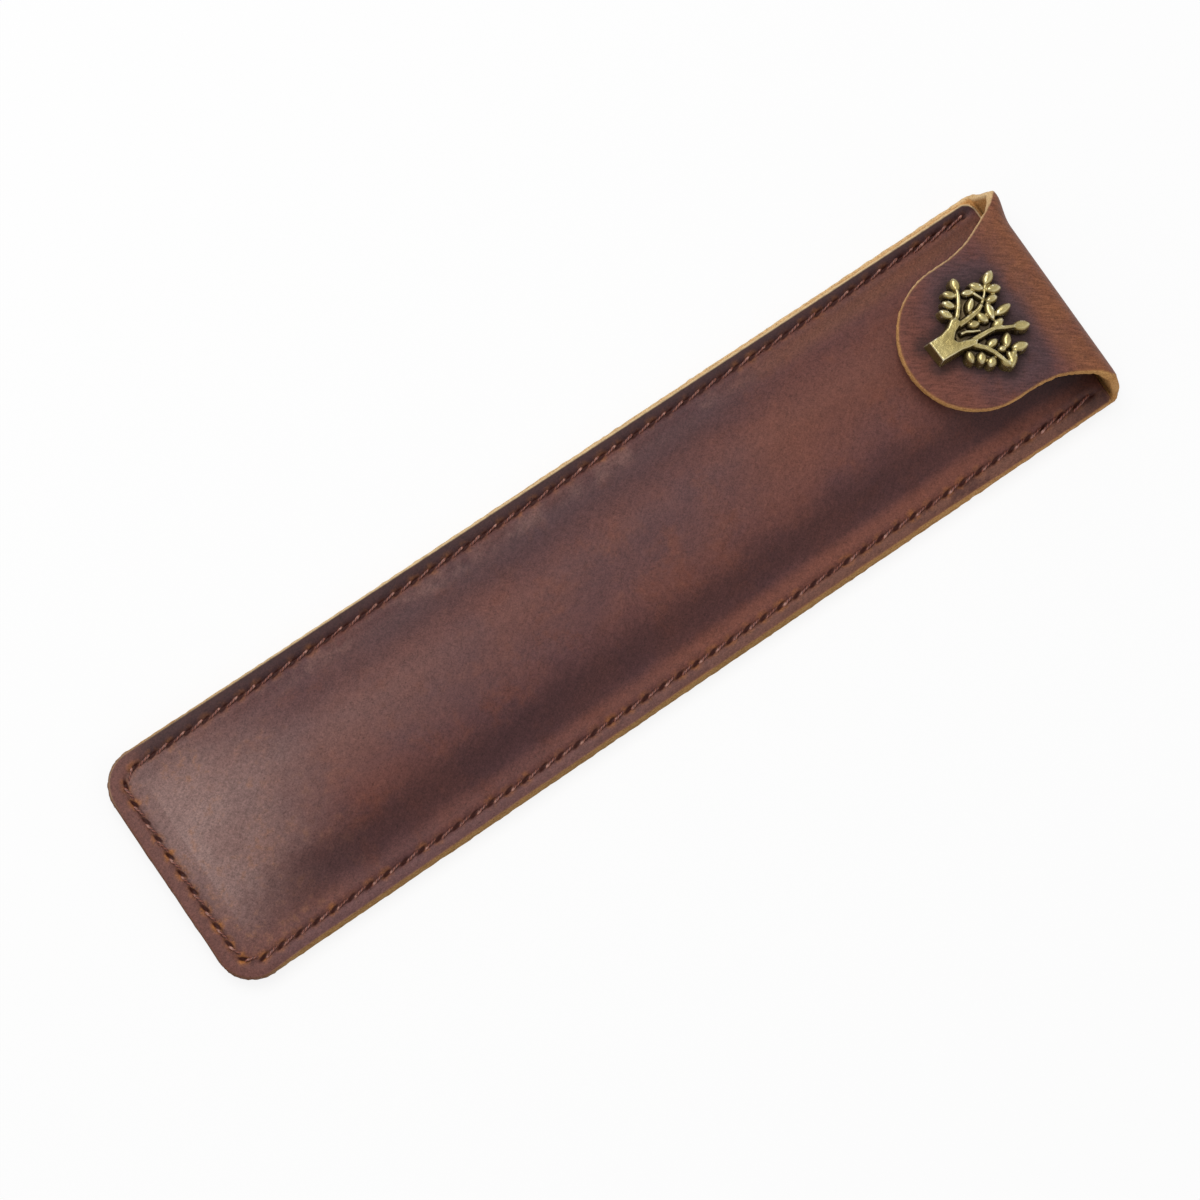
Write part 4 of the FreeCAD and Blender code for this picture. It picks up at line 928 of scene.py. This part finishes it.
def bronzePaint():
    look = bronzeLook
    paint, wire, shader = newPaint("antiqueBronze", 0.36, 1.0)
    place = objectSpot(wire)
    cast = place.cloud(900.0, 3.0)
    patch = place.cloud(260.0, 4.0)
    point = wire.node("ShaderNodeNewGeometry", {}, {}, "Pointiness")
    facing = wire.node("ShaderNodeNewGeometry", {}, {}, "Normal").parts()[2]
    bare = (attribute(wire, "open") + (patch - 0.5) * 0.35).step(0.2, 0.7)
    # painted light: faces turned up get the lighter top colour
    up = facing.step(0.5, 0.95)
    colour = bare.tint(look["recess"], look["body"])
    colour = (up * bare).tint(colour, look["top"])
    colour = (patch.step(0.42, 0.64) * 0.45).tint(colour, look["patch"])
    colour = point.step(0.45, 0.49, 0.8, 0.0).tint(colour, look["hollow"])
    # painted highlight: near-white along ridges and edges
    colour = (point.step(0.504, 0.56) * bare * patch.step(0.36, 0.58, 0.95, 0.35)).tint(colour, look["rim"])
    feed(shader, "Base Color", colour)
    feed(shader, "Roughness", 0.34 - bare * 0.16 + cast * 0.12)
    feed(shader, "Metallic", 0.6 + up * bare * 0.35)
    feed(shader, "Normal", bumped(wire, cast + patch, 0.4, 0.00014))
    return paint


snapLook = {
    "brass": (rgb(196, 170, 112), rgb(128, 106, 66)), "steel": (rgb(200, 200, 200), rgb(150, 150, 152)),
    "brassNodes": ("snap_stud", "stud_rivet", "snap_socket", "cap_rivet"), "steelNodes": ("socket_spring",),
}


def snapPaint(name, bright, dull):
    paint, wire, shader = newPaint(name, 0.3, 1.0)
    place = objectSpot(wire)
    patch = place.cloud(500.0, 4.0)
    scratch = place.stretched((1.0, 6.0, 1.0)).cloud(1600.0, 2.0)
    feed(shader, "Base Color", patch.step(0.35, 0.65).tint(dull, bright))
    feed(shader, "Roughness", 0.24 + patch * 0.2 + scratch * 0.1)
    feed(shader, "Normal", bumped(wire, scratch, 0.08, 0.00005))
    return paint


def paintNodes(names, paint):
    for name in names:
        cadNodes[name].data.materials.clear()
        cadNodes[name].data.materials.append(paint)


frontPaint = leatherPaint("oiledFront", True)
hidePaint = leatherPaint("oiledHide", False)
thread = threadPaint()
frontLeather(frontPaint)
backHide(hidePaint)
flapHide(hidePaint)
unit = oneStitch()
upperFace = sleeve["hide"] + sleeve["front"]
seamStitches("needleStitches", unit, thread, upperFace - stitch["sink"], 1.0, "needle_thread")
seamStitches("bobbinStitches", unit, thread, stitch["backSink"], -1.0, "bobbin_thread")
bpy.data.meshes.remove(unit)
print("stitches sewn")
treeOrnament(bronzePaint())
paintNodes(snapLook["brassNodes"], snapPaint("snapBrass", *snapLook["brass"]))
paintNodes(snapLook["steelNodes"], snapPaint("springSteel", *snapLook["steel"]))
print("finishes set")


studio = {
    "floor": 1.6, "floorDrop": 0.15, "glow": 0.85, "world": 0.44,
    "keyPower": 3.1, "keySize": 0.46, "keySpot": (-0.02, 0.3, 0.69),
    "fillPower": 0.6, "fillSize": 0.8, "fillSpot": (0.35, -0.5, 0.6),
}


def seenDirectly(wire):  # 1 where the camera, a reflection or a glass sees the surface
    rays = ("Is Camera Ray", "Is Glossy Ray", "Is Transmission Ray")
    camera, glossy, through = (wire.node("ShaderNodeLightPath", {}, {}, ray) for ray in rays)
    return wire.sum("MINIMUM", camera + glossy + through, 1.0)


def layFloor():
    paint, wire, shader = newPaint("paleFloor", 0.9, 0.0, 0.2)
    speck = objectSpot(wire).cloud(60.0, 2.0)
    feed(shader, "Base Color", (0.985 + 0.015 * speck).shade(rgb(250, 250, 250)))
    share = seenDirectly(wire) * studio["glow"]
    glow = wire.node("ShaderNodeEmission", {}, {"Color": rgb(255, 255, 255), "Strength": 1.0})
    base = Wire(paint.node_tree, shader.outputs[0])
    mixed = wire.node("ShaderNodeMixShader", {}, {0: share, 1: base, 2: glow})
    feed(paint.node_tree.nodes["Material Output"], "Surface", mixed)
    bm = bmesh.new()
    bmesh.ops.create_grid(bm, x_segments=4, y_segments=4, size=studio["floor"] * 1000)
    bmesh.ops.translate(bm, verts=bm.verts, vec=(0, 0, -studio["floorDrop"]))
    finishPiece(bm, "paleFloor", paint)


def areaLight(name, power, size, spot):  # aimed at the origin
    data = bpy.data.lights.new(name, "AREA")
    data.energy = power
    data.shape = "SQUARE"
    data.size = size
    lamp = bpy.data.objects.new(name, data)
    lamp.location = spot
    lamp.rotation_euler = (-Vector(spot)).to_track_quat("-Z", "Y").to_euler()
    bpy.context.scene.collection.objects.link(lamp)


layFloor()
areaLight("keyLight", studio["keyPower"], studio["keySize"], studio["keySpot"])
areaLight("fillLight", studio["fillPower"], studio["fillSize"], studio["fillSpot"])
world = bpy.data.worlds.new("studioWorld")
world.use_nodes = True
sky = world.node_tree.nodes["Background"]
sky.inputs["Color"].default_value = (1, 1, 1, 1)
feed(sky, "Strength", seenDirectly(Wire(world.node_tree)) * (1.0 - studio["world"]) + studio["world"])
bpy.context.scene.world = world
print("floor and lights set")

camera = {  # target on the table in mm, distance, lean to the tail and to the lower side, roll
    "target": (-3.965, -0.684, 0.0), "distance": 560.0, "leanTail": 9.39, "leanSide": 5.5, "roll": 34.75,
    "focal": 3545.0, "frame": 1200.0, "sensor": 36.0,
}


def placeCamera():
    lean = [math.tan(math.radians(camera[key])) for key in ("leanTail", "leanSide")]
    back = Vector((-lean[0], -lean[1], 1.0)).normalized()
    roll = math.radians(camera["roll"])
    up = Vector((math.sin(roll), math.cos(roll), 0.0))
    up = (up - back * up.dot(back)).normalized()
    right = up.cross(back)
    data = bpy.data.cameras.new("camera")
    data.sensor_width = camera["sensor"]
    data.lens = camera["focal"] / camera["frame"] * camera["sensor"]
    data.clip_start = 0.01
    view = bpy.data.objects.new("camera", data)
    spot = (Vector(camera["target"]) + back * camera["distance"]) / 1000
    turn = Matrix((right, up, back)).transposed().to_4x4()
    view.matrix_world = Matrix.Translation(spot) @ turn
    bpy.context.scene.collection.objects.link(view)
    bpy.context.scene.camera = view


placeCamera()
bpy.context.scene.view_settings.view_transform = "Standard"
print("scene ready")
